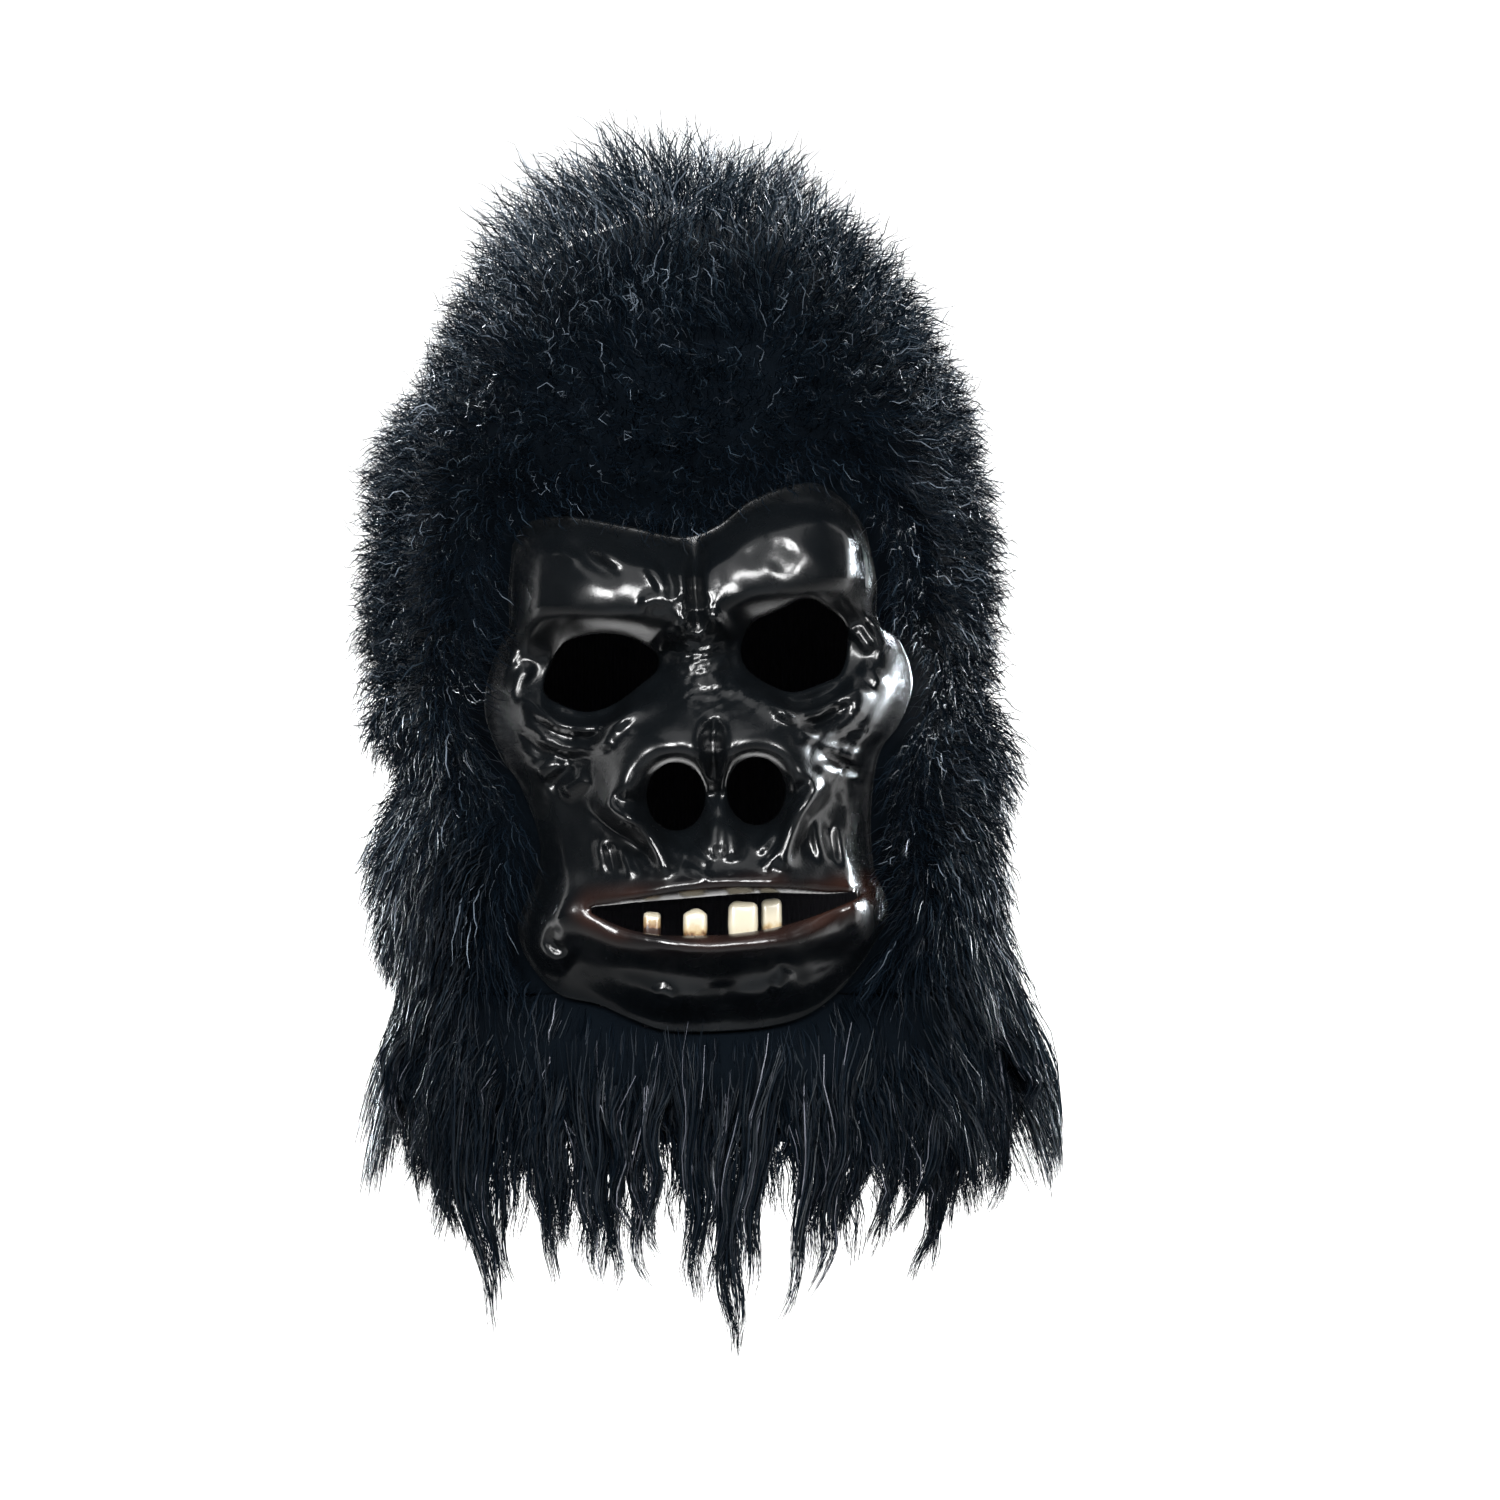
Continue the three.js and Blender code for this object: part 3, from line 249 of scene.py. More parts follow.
# Teeth: left, right, gum and tip as shares; last the share of brown stain
TEETH = [
    (-0.127, -0.087, -0.505, -0.461, 0.75),
    (-0.036, 0.019, -0.508, -0.458, 0.35),
    (0.066, 0.135, -0.509, -0.443, 0.12),
    (0.141, 0.19, -0.497, -0.438, 0.2),
]
TOOTH_DEPTH, TOOTH_ROOT, TOOTH_SEAT = 5, 4, 0.3

# Beard locks: where the tip hangs, as shares of HALF_WIDTH and HEIGHT, and sway as a share of LOCK_WIDTH
LONG_LOCKS = [
    (-1.04, 1.06, -0.3), (-0.95, 1.15, 0.2), (-0.79, 1.22, -0.2), (-0.63, 1.3, -0.3), (-0.47, 1.24, 0.3),
    (-0.3, 1.27, 0.2), (-0.13, 1.23, -0.3), (0.03, 1.25, 0.2), (0.2, 1.31, -0.4), (0.36, 1.27, 0.4),
    (0.52, 1.21, -0.2), (0.67, 1.2, 0.3), (0.82, 1.23, 0.3), (0.97, 1.18, -0.3), (1.1, 1.16, 0.3),
    (1.22, 1.06, 0.3),
]
SHORT_LOCKS = [
    (-1.08, 0.99, 0.2), (-0.84, 1.07, -0.3), (-0.57, 1.11, 0.3), (-0.29, 1.09, -0.2), (0.0, 1.13, 0.3),
    (0.29, 1.1, -0.3), (0.58, 1.12, 0.2), (0.88, 1.07, 0.3), (1.16, 1.0, -0.2),
]
LOCK_WIDTH, LOCK_THICKNESS, LOCK_RISE, LOCK_BEND, LOCK_SPREAD = 22, 11, 14, 0.55, 1.05

rng = np.random.default_rng(7)


# Curves and small maths
def smooth(low, high, value):
    t = np.clip((value - low) / (high - low), 0, 1)
    return t * t * (3 - 2 * t)


def mix(a, b, t):
    return a + (b - a) * t


def unit(v):
    return v / np.maximum(np.linalg.norm(v, axis=-1, keepdims=True), 1e-9)


def face_points(shares):
    return np.array([(FACE_OFFSET + x * FACE_WIDTH, -EYE_DROP + z * FACE_HEIGHT) for x, z in shares])


def spline(points, places, closed=False):
    """Centripetal Catmull-Rom through points, read at shares of its own parameter."""
    count = len(points)
    spans = count if closed else count - 1
    place = np.clip(np.asarray(places, float), 0, 1) * spans
    first = np.minimum(np.floor(place).astype(int), spans - 1)
    t = (place - first)[:, None]
    if closed:
        p0, p1, p2, p3 = (points[(first + k) % count] for k in (-1, 0, 1, 2))
    else:
        padded = np.vstack([2 * points[0] - points[1], points, 2 * points[-1] - points[-2]])
        p0, p1, p2, p3 = (padded[first + k] for k in (0, 1, 2, 3))
    d0, d1, d2 = (np.sqrt(np.linalg.norm(b - a, axis=1))[:, None] for a, b in ((p0, p1), (p1, p2), (p2, p3)))
    m1 = ((p1 - p0) / d0 - (p2 - p0) / (d0 + d1) + (p2 - p1) / d1) * d1
    m2 = ((p2 - p1) / d1 - (p3 - p1) / (d1 + d2) + (p3 - p2) / d2) * d1
    return p1 + m1 * t + (-3 * p1 + 3 * p2 - 2 * m1 - m2) * t**2 + (2 * p1 - 2 * p2 + m1 + m2) * t**3


def even_spline(points, places, closed=False):
    """The same curve, read at shares of its length."""
    steps = np.linspace(0, 1, 201)
    dense = spline(points, steps, closed)
    run = np.concatenate([[0], np.cumsum(np.linalg.norm(np.diff(dense, axis=0), axis=1))])
    return spline(points, np.interp(np.asarray(places) * run[-1], run, steps), closed)


def line_distance(x, z, line):
    """Distance to a polyline and the share of its length at the nearest point."""
    best = np.full(x.shape, np.inf)
    share = np.zeros(x.shape)
    lengths = np.linalg.norm(np.diff(line, axis=0), axis=1)
    done = 0.0
    for (ax, az), (bx, bz), length in zip(line[:-1], line[1:], lengths):
        t = np.clip(((x - ax) * (bx - ax) + (z - az) * (bz - az)) / length**2, 0, 1)
        d = np.hypot(x - mix(ax, bx, t), z - mix(az, bz, t))
        nearer = d < best
        best = np.where(nearer, d, best)
        share = np.where(nearer, done + t * length, share)
        done += length
    return best, share / done


def inside(x, z, outline):
    """Whether each point lies inside a closed outline."""
    result = np.zeros(x.shape, bool)
    for (ax, az), (bx, bz) in zip(outline, np.roll(outline, -1, axis=0)):
        if az == bz:
            continue
        crosses = (az > z) != (bz > z)
        result ^= crosses & (x < (bx - ax) * (z - az) / (bz - az) + ax)
    return result


def nearest_on(x, z, outline):
    """The nearest point of a closed outline to each point."""
    best = np.full(x.shape, np.inf)
    px, pz = x.copy(), z.copy()
    for (ax, az), (bx, bz) in zip(outline, np.roll(outline, -1, axis=0)):
        dx, dz = bx - ax, bz - az
        t = np.clip(((x - ax) * dx + (z - az) * dz) / (dx**2 + dz**2 + 1e-12), 0, 1)
        qx, qz = mix(ax, bx, t), mix(az, bz, t)
        d = np.hypot(x - qx, z - qz)
        nearer = d < best
        best, px, pz = (np.where(nearer, new, old) for new, old in ((d, best), (qx, px), (qz, pz)))
    return px, pz, best


def lattice_noise(x, z, scale, seed):
    """Smooth noise in -1..1 from a seeded lattice."""
    grid = np.random.default_rng(seed).uniform(-1, 1, (64, 64))
    u, v = x / scale + 500.3, z / scale + 500.7
    i, j = np.floor(u).astype(int), np.floor(v).astype(int)
    fu, fv = u - i, v - j
    fu, fv = fu * fu * (3 - 2 * fu), fv * fv * (3 - 2 * fv)
    at = lambda a, b: grid[(i + a) % 64, (j + b) % 64]
    return mix(mix(at(0, 0), at(1, 0), fu), mix(at(0, 1), at(1, 1), fu), fv)


# Hood form
def ring_value(column, along):
    last = len(RINGS) - 1
    place = np.clip(along, 0, 0.99999) * last
    row = np.floor(place).astype(int)
    t = place - row
    a, b, c, d = (RINGS[np.clip(row + k, 0, last), column] for k in (-1, 0, 1, 2))
    bend = (2 * a - 5 * b + 4 * c - d) * t**2 + (3 * b - a - 3 * c + d) * t**3
    return b + 0.5 * ((c - a) * t + bend)


def bib_fall(along, to_front):
    return BIB_DROP * smooth(BIB_SIDE, BIB_FULL, to_front) * smooth(BIB_START, 1, along)


def hood_point(along, angle):
    cx, sy = np.cos(angle), np.sin(angle)
    across = np.where(cx < 0, ring_value(LEFT, along), ring_value(RIGHT, along)) * HALF_WIDTH
    reach = np.where(sy < 0, ring_value(FRONT, along) * FRONT_REACH, ring_value(BACK, along) * BACK_REACH)
    z = -ring_value(DROP, along) * HEIGHT - bib_fall(along, -sy)
    across, reach = np.maximum(across, 1e-6), np.maximum(reach, 1e-6)
    radius = (np.abs(cx / across) ** SQUARENESS + np.abs(sy / reach) ** SQUARENESS) ** (-1 / SQUARENESS)
    return np.stack([cx * radius, sy * radius, z + 0 * radius], axis=-1)


def hood_frame(along, angle):
    """Normal, downward and sideways directions on the hood form."""
    step = 0.004
    low = np.clip(along, step, 1 - step)
    down = hood_point(low + step, angle) - hood_point(low - step, angle)
    around = hood_point(low, angle + step) - hood_point(low, angle - step)
    normal = unit(np.cross(down, around))
    return normal, unit(down), unit(around)


def hood_at(along, angle, lift):
    normal, _, _ = hood_frame(along, angle)
    return hood_point(along, angle) + normal * np.asarray(lift)[..., None]


FRONT_STEPS = np.linspace(0, 1, 3001)
FRONT_DROPS = ring_value(DROP, FRONT_STEPS) * HEIGHT + bib_fall(FRONT_STEPS, 1)


def front_y(x, z):
    along = np.interp(-z, FRONT_DROPS, FRONT_STEPS)
    across = np.where(x < 0, ring_value(LEFT, along), ring_value(RIGHT, along)) * HALF_WIDTH
    share = np.minimum(0.98, np.abs(x) / across)
    return -ring_value(FRONT, along) * FRONT_REACH * (1 - share**SQUARENESS) ** (1 / SQUARENESS)


def slant(surface, x, z):
    step = 0.5
    across = (surface(x + step, z) - surface(x - step, z)) / (2 * step)
    up = (surface(x, z + step) - surface(x, z - step)) / (2 * step)
    return np.minimum(STEEPEST, np.sqrt(1 + across**2 + up**2))


def layered_y(x, z, thickness):
    return front_y(x, z) - thickness * slant(front_y, x, z)


# Outlines
places = np.linspace(0, 1, 60, endpoint=False)
RIM = np.vstack([
    even_spline(face_points(RIM_BOTTOM), places),
    even_spline(face_points(RIM_RIGHT), places),
    even_spline(face_points(RIM_TOP), 1 - places),
    even_spline(face_points(RIM_LEFT), 1 - places),
])
hole_places = np.linspace(0, 1, 120, endpoint=False)
HOLES = [even_spline(face_points(shares), hole_places, True) for shares in (EYE_LEFT, EYE_RIGHT, MOUTH)]
turns = hole_places * 2 * math.pi
for centre in face_points(NOSTRILS):
    HOLES.append(np.stack([
        centre[0] + NOSTRIL_SIZE[0] / 2 * np.cos(turns),
        centre[1] + NOSTRIL_SIZE[1] / 2 * np.sin(turns),
    ], axis=1))
MOUTH_HOLE = HOLES[2]
mouth_middle = MOUTH_HOLE[:, 1].mean()


def rim_distance(x, z):
    """Distance to the vinyl's rim, less than 0 inside it."""
    closed = np.vstack([RIM, RIM[:1]])
    distance, _ = line_distance(x, z, closed)
    return np.where(inside(x, z, RIM), -distance, distance)


# Relief of the vinyl
def broad_rise(x, z):
    rise = np.zeros(x.shape)
    for sx, sz, wide, above, below, turn, height, edge in LUMPS:
        (cx, cz), a = face_points([(sx, sz)])[0], math.radians(turn)
        along = ((x - cx) * math.cos(a) + (z - cz) * math.sin(a)) / (wide * FACE_WIDTH)
        over = (z - cz) * math.cos(a) - (x - cx) * math.sin(a)
        up = over / (np.where(over > 0, above, below) * FACE_HEIGHT)
        rise += height * RELIEF * np.exp(-((along**2 + up**2) ** edge))
    for half, height, points in FOLDS:
        distance, _ = line_distance(x, z, face_points(points))
        rise += height * RELIEF * np.exp(-((distance / (half * FACE_WIDTH)) ** 2))
    return rise


def cell_creases(x, z, size, seed):
    """Crack-like creases between seeded cells, 1 in the crease and 0 within a cell."""
    r = np.random.default_rng(seed)
    (x0, x1), (z0, z1) = (x.min() - size, x.max() + size), (z.min() - size, z.max() + size)
    count = int((x1 - x0) * (z1 - z0) / size**2)
    seeds = np.stack([r.uniform(x0, x1, count), r.uniform(z0, z1, count)], axis=1)
    flat = np.stack([x.ravel(), z.ravel()], axis=1)
    first = np.full(len(flat), np.inf)
    second = first.copy()
    for point in seeds:
        d = np.hypot(flat[:, 0] - point[0], flat[:, 1] - point[1])
        second = np.minimum(second, np.maximum(d, first))
        first = np.minimum(first, d)
    return np.exp(-(((second - first) / (0.16 * size)) ** 2)).reshape(x.shape)


NOSE_CRESTS = [
    [(-0.197, -0.268), (-0.172, -0.205), (-0.108, -0.168), (-0.045, -0.17), (0.0, -0.2)],
    [(0.062, -0.2), (0.1, -0.163), (0.16, -0.16), (0.222, -0.19), (0.262, -0.24)],
]
NOSE_BULBS = [((-0.112, -0.165), 16.5, 15.5), ((0.168, -0.153), 16, 15.5)]
BULB_RISE, BULB_EDGE = 4.2, 1.25
CREST_RISE, CREST_HALF = 1.3, 8
WRINKLE_GAIN, WRINKLE_WIDTH, WRINKLE_LENGTH = 2.1, 1.3, 14
RIDGE_EDGE, CREASE_EDGE = 2.7, 2
# Patches of cracked cells: where as shares of the face, half width and half height
BRIDGE_PATCHES = [((0.05, -0.045), 17, 13), ((-0.02, 0.03), 8, 14)]
CHEEK_PATCHES = [((-0.3, -0.16), 18, 12), ((0.33, -0.17), 16, 14)]
BRIDGE_DEPTH, BRIDGE_FINE, CHEEK_DEPTH, LIP_DEPTH = 1.25, 0.45, 0.75, 0.42
MUZZLE_MIDDLE, MUZZLE_RISE, CHIN_RISE, UNEVEN, GRAIN = FACE_OFFSET + 6, 0.45, 1.0, 0.45, 0.16


def around_point(x, z, share, wide, high, edge=2):
    """A dome of height 1 round a point given as shares of the face."""
    cx, cz = face_points([share])[0]
    return np.exp(-(((x - cx) / wide) ** 2 + ((z - cz) / high) ** 2) ** edge)


def patches(x, z, places):
    return np.max([around_point(x, z, *place) for place in places], axis=0)


def curve(points):
    return even_spline(face_points(points), np.linspace(0, 1, 14))


def fade_ends(share):
    return smooth(-0.02, 0.3, share) * smooth(-0.02, 0.3, 1 - share)


def fine_rise(x, z):
    rise = np.zeros(x.shape)
    for half, height, thousandths in WRINKLES:
        points = np.array(thousandths) / 1000
        line = curve(points) if len(points) > 2 else face_points(points)
        # A short line gets half of what it lacks, shared by its ends
        more = 0.25 * max(0, WRINKLE_LENGTH - np.linalg.norm(np.diff(line, axis=0), axis=1).sum())
        first, last = line[0] - more * unit(line[1] - line[0]), line[-1] + more * unit(line[-1] - line[-2])
        distance, share = line_distance(x, z, np.vstack([first, line, last]))
        edge = RIDGE_EDGE if height > 0 else CREASE_EDGE
        profile = np.exp(-((distance / (WRINKLE_WIDTH * half)) ** edge))
        rise += WRINKLE_GAIN * height * fade_ends(share) * profile
    # Cracked cells on the bridge and the cheeks
    bent_x = x + 0.9 * lattice_noise(x, z, 6, 21)
    bent_z = z + 0.9 * lattice_noise(x, z, 6, 22)
    bridge = patches(x, z, BRIDGE_PATCHES)
    rise -= BRIDGE_DEPTH * bridge * cell_creases(bent_x, bent_z * 1.25, 4.2, 23)
    rise -= BRIDGE_FINE * bridge * cell_creases(bent_x, bent_z, 2.6, 24)
    cheeks = patches(x, z, CHEEK_PATCHES)
    rise -= CHEEK_DEPTH * cheeks * cell_creases(bent_x * 0.7 + bent_z * 0.4, bent_z, 4.5, 25)
    # Upright creases across the lips and round the muzzle
    above, across = z - mouth_middle, x - MUZZLE_MIDDLE
    fan = across - 0.22 * across * above / 20
    lips = smooth(16, 5, np.abs(above)) * smooth(62, 50, np.abs(across))
    crease = lattice_noise(fan + 0.5 * lattice_noise(x, z, 5, 26), 0 * z, 1.5, 27)
    rise -= LIP_DEPTH * lips * np.maximum(0, crease) * (0.6 + 0.4 * lattice_noise(x, z, 4, 28))
    muzzle = smooth(10, 18, above) * smooth(34, 24, above) * smooth(58, 44, np.abs(across))
    long_crease = lattice_noise(fan + 1.2 * lattice_noise(x, z, 9, 29), z * 0.12, 3.2, 30)
    rise += MUZZLE_RISE * muzzle * long_crease
    chin = smooth(-20, -27, above) * smooth(60, 40, np.abs(across))
    rise += CHIN_RISE * chin * lattice_noise(fan + 1.5 * lattice_noise(x, z, 8, 33), z * 0.2, 3.4, 34)
    # Rolled crests and round bulbs over the nostrils
    for points in NOSE_CRESTS:
        distance, share = line_distance(x, z, curve(points))
        rise += CREST_RISE * fade_ends(share) * np.exp(-((distance / CREST_HALF) ** 2))
    for share, wide, high in NOSE_BULBS:
        rise += BULB_RISE * around_point(x, z, share, wide, high, BULB_EDGE)
    # Uneven casting everywhere
    rise += UNEVEN * lattice_noise(x, z, 11, 31) + GRAIN * lattice_noise(x, z, 4.3, 32)
    return rise


def vinyl_y(x, z, shown=1.0):
    return layered_y(x, z, LIFT + FACE_WALL) - shown * broad_rise(x, z)


# Meshes
def link(mesh, name):
    obj = bpy.data.objects.new(name, mesh)
    bpy.context.scene.collection.objects.link(obj)
    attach(obj, "root")
    return obj


def make(name, points, faces, material, smoothed=True, tones=None):
    """A mesh object from points in millimetres and an array of faces, all with the same number of corners."""
    mesh = bpy.data.meshes.new(name)
    points, faces = np.asarray(points, float), np.asarray(faces, np.int32)
    mesh.vertices.add(len(points))
    mesh.vertices.foreach_set("co", (points * MM).ravel())
    mesh.loops.add(faces.size)
    mesh.loops.foreach_set("vertex_index", faces.ravel())
    mesh.polygons.add(len(faces))
    mesh.polygons.foreach_set("loop_start", np.arange(0, faces.size, faces.shape[1], dtype=np.int32))
    mesh.polygons.foreach_set("use_smooth", np.full(len(faces), smoothed))
    for one in material if isinstance(material, list) else [material]:
        mesh.materials.append(one)
    if tones is not None:
        mesh.polygons.foreach_set("material_index", np.asarray(tones, np.int32))
    mesh.update(calc_edges=True)
    mesh.validate()
    return link(mesh, name)


def grid_faces(rows, columns, wrap=False):
    across = columns if wrap else columns - 1
    r, c = np.meshgrid(np.arange(rows - 1), np.arange(across), indexing="ij")
    r, c = r.ravel(), c.ravel()
    nxt = (c + 1) % columns
    low, high = r * columns, (r + 1) * columns
    return np.stack([low + c, low + nxt, high + nxt, high + c], axis=1)


def boundary(faces):
    """Directed edges that only one face uses."""
    sides = [np.stack([faces[:, i], faces[:, (i + 1) % 4]], axis=1) for i in range(4)]
    edges = np.vstack(sides).astype(np.int64)
    stride = edges.max() + 1
    return edges[~np.isin(edges[:, 0] * stride + edges[:, 1], edges[:, 1] * stride + edges[:, 0])]


def thick_sheet(outer, inner, faces):
    """Closes an outer and an inner sheet of the same layout along their free edges."""
    used = np.unique(faces)
    order = np.full(len(outer), -1)
    order[used] = np.arange(len(used))
    faces = order[faces]
    count = len(used)
    edge = boundary(faces)
    walls = np.stack([edge[:, 1], edge[:, 0], edge[:, 0] + count, edge[:, 1] + count], axis=1)
    points = np.vstack([outer[used], inner[used]])
    return points, np.vstack([faces, faces[:, ::-1] + count, walls]), used


# Materials
def feed(made, socket, value):
    """Sets a socket to a constant, or links the socket that feeds it."""
    if isinstance(value, bpy.types.NodeSocket):
        made.node_tree.links.new(value, socket)
    else:
        socket.default_value = value


def material(name, color, roughness, specular=0.5, coat=0.0):
    made = bpy.data.materials.new(name)
    made.use_nodes = True
    surface(made, "Base Color", (*color, 1))
    surface(made, "Roughness", roughness)
    surface(made, "Specular IOR Level", specular)
    surface(made, "Coat Weight", coat)
    surface(made, "Coat Roughness", 0.1)
    return made


def surface(made, label, value):
    feed(made, made.node_tree.nodes["Principled BSDF"].inputs[label], value)


def node(made, kind, **inputs):
    """A new node of a material, with its inputs by name."""
    added = made.node_tree.nodes.new("ShaderNode" + kind)
    for label, value in inputs.items():
        feed(made, added.inputs[label], value)
    return added


def place_in(made, kind="Object"):
    return node(made, "TexCoord").outputs[kind]


def noise(made, scale, detail=3.0):
    return node(made, "TexNoise", Scale=scale, Detail=detail, Vector=place_in(made)).outputs["Fac"]


def ramp(made, source, stops):
    added = node(made, "ValToRGB", Fac=source)
    for i, (at, color) in enumerate(stops):
        stop = added.color_ramp.elements[i] if i < 2 else added.color_ramp.elements.new(at)
        stop.position = at
        stop.color = (*color, 1)
    return added.outputs["Color"]


def bump(made, source, strength, distance):
    added = node(made, "Bump", Strength=strength, Distance=distance, Height=source)
    surface(made, "Normal", added.outputs["Normal"])


VINYL_BLACK, LIP_BROWN = (0.0018, 0.0024, 0.003), (0.022, 0.009, 0.006)
vinyl = material("vinyl", VINYL_BLACK, 0.3, 0.55)
tint = node(vinyl, "Attribute")
tint.attribute_name = "lip_tint"
surface(vinyl, "Base Color", ramp(vinyl, tint.outputs["Fac"], [(0.0, VINYL_BLACK), (1.0, LIP_BROWN)]))
surface(vinyl, "Roughness", ramp(vinyl, noise(vinyl, 60), [(0.3, (0.19,) * 3), (0.7, (0.3,) * 3)]))
bump(vinyl, noise(vinyl, 900, 2.0), 0.12, 0.0004)
vinyl_inside = material("vinyl_inside", (0.01, 0.011, 0.012), 0.7)

backing = material("backing", (0.012, 0.012, 0.015), 0.95, 0.2)
knit = node(backing, "TexWave", Scale=260, Distortion=1.5, Vector=place_in(backing))
bump(backing, knit.outputs["Fac"], 0.4, 0.0006)

CREAM, IVORY, STAIN, TARTAR = (0.32, 0.29, 0.22), (0.26, 0.195, 0.105), (0.1, 0.05, 0.02), (0.02, 0.01, 0.007)
MOTTLE = 0.45


def enamel(name, stain):
    """Cream at the tip, browner at the gum; stain is how far the brown reaches."""
    made = material(name, CREAM, 0.32, coat=0.3)
    split = node(made, "SeparateXYZ", Vector=place_in(made, "Generated"))
    add = node(made, "Math")
    add.operation = "MULTIPLY_ADD"
    for i, value in enumerate((noise(made, 420), MOTTLE, split.outputs["Z"])):
        feed(made, add.inputs[i], value)
    low = 0.35 + 0.55 * stain
    high = min(0.99, low + 0.1 + 0.6 * stain)
    stops = [(low, TARTAR), (high, CREAM), (low + 0.03, STAIN), (low + 0.07 + 0.2 * stain, IVORY)]
    surface(made, "Base Color", ramp(made, add.outputs["Value"], stops))
    return made


# The fur is black: deep is its own tone, navy is partly its own tone and partly painted highlight, grey is a
# painted glint, and pale is a painted glint and painted rim light
FUR_TONES = [
    material("fur_deep", (0.0005, 0.0016, 0.0031), 0.55, 0.04),
    material("fur_navy", (0.0015, 0.0037, 0.0067), 0.5, 0.07),
    material("fur_grey_painted_glint", (0.0115, 0.019, 0.027), 0.45, 0.14),
    material("fur_pale_painted_highlight", (0.085, 0.105, 0.13), 0.4, 0.25),
]
# On the beard, mauve and pale are painted highlights on black strands
BEARD_TONES = FUR_TONES[:2] + [
    material("beard_mauve_painted_highlight", (0.0085, 0.0115, 0.0145), 0.45, 0.1),
    material("beard_pale_painted_highlight", (0.085, 0.09, 0.11), 0.4, 0.2),
]
undercoat_look = material("undercoat", (0.0006, 0.0015, 0.0027), 0.95, 0.04)

# Vinyl face
COLUMNS, ROWS = ((150, 192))
s, t = np.meshgrid(np.linspace(0, 1, COLUMNS + 1), np.linspace(0, 1, ROWS + 1))
bottom, top = (even_spline(face_points(shares), s[0])[None] for shares in (RIM_BOTTOM, RIM_TOP))
left, right = (even_spline(face_points(shares), t[:, 0])[:, None] for shares in (RIM_LEFT, RIM_RIGHT))
across, up = s[..., None], t[..., None]
corners = mix(mix(bottom[:, :1], bottom[:, -1:], across), mix(top[:, :1], top[:, -1:], across), up)
flat = mix(bottom, top, up) + mix(left, right, across) - corners
x, z = flat[..., 0].ravel(), flat[..., 1].ravel()
s, t = s.ravel(), t.ravel()

face_quads = grid_faces(ROWS + 1, COLUMNS + 1)
in_hole = np.zeros(x.shape, bool)
for outline in HOLES:
    in_hole |= inside(x, z, outline)
face_quads = face_quads[~in_hole[face_quads].all(axis=1)]
EYE_ROLL, UPPER_ROLL, LOWER_ROLL, NOSTRIL_ROLL = 1.5, 3.2, 1.5, 3.2
roll = np.zeros(x.shape)
for outline, radius in zip(HOLES, (EYE_ROLL, EYE_ROLL, None, NOSTRIL_ROLL, NOSTRIL_ROLL)):
    snapped = inside(x, z, outline)
    nearest_x, nearest_z, away = nearest_on(x, z, outline)
    x, z = np.where(snapped, nearest_x, x), np.where(snapped, nearest_z, z)
    away = np.where(snapped, 0, away)
    if radius is None:
        radius = mix(LOWER_ROLL, UPPER_ROLL, smooth(-2, 2, z - mouth_middle - 1.5))
    step = np.clip(1 - away / radius, 0, 1)
    roll += radius * (1 - np.sqrt(1 - step**2))

shown = smooth(0, 1.35 * RIM_ACROSS, np.minimum(s, 1 - s)) * smooth(0, 1.2 * RIM_UP, np.minimum(t, 1 - t))
fine = fine_rise(x, z)
y = vinyl_y(x, z, shown) - shown * fine + roll
through = FACE_WALL * slant(lambda a, c: vinyl_y(a, c, shown), x, z)
back = np.where(shown < 1, np.minimum(y + through, layered_y(x, z, LIFT)), y + through)
back = np.maximum(back, y + 0.6)
points, faces, used = thick_sheet(np.stack([x, y, z], 1), np.stack([x, back, z], 1), face_quads)
count = len(face_quads)
inner_faces = np.zeros(len(faces), int)
inner_faces[count:2 * count] = 1
face = make("vinyl_face", points, faces, [vinyl, vinyl_inside], tones=inner_faces)
lip_line, _ = line_distance(x, z, np.vstack([MOUTH_HOLE, MOUTH_HOLE[:1]]))
patchy = 0.5 + 0.5 * lattice_noise(x, z, 7, 41)
tint_value = smooth(8.5, 1.5, lip_line) * patchy * mix(0.5, 1.0, smooth(15, 50, np.abs(x - MUZZLE_MIDDLE)))
values = np.zeros(len(points))
values[:len(used)] = tint_value[used]
face.data.attributes.new("lip_tint", "FLOAT", "POINT").data.foreach_set("value", values)
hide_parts("face_shell")


BEHIND_LIP = 1.75
LEDGE_DEPTH, LEDGE_THICKNESS, LEDGE_RUN, LEDGE_END, LEDGE_SINK = 13, 2.4, 0.2, 5, 1.3


def tooth_front(left, right, gum):
    """y of the lip's back where the tooth stands, and the height of its foot."""
    x0, z0 = face_points([(left, gum)])[0]
    x1, _ = face_points([(right, gum)])[0]
    foot = z0 - TOOTH_ROOT + TOOTH_SEAT
    at_x = np.array([x0, (x0 + x1) / 2, x1] * 2)
    at_z = np.array([z0] * 3 + [foot] * 3)
    lip_back = (vinyl_y(at_x, at_z) + FACE_WALL * slant(vinyl_y, at_x, at_z)).max()
    return x0, x1, z0, foot, lip_back + BEHIND_LIP


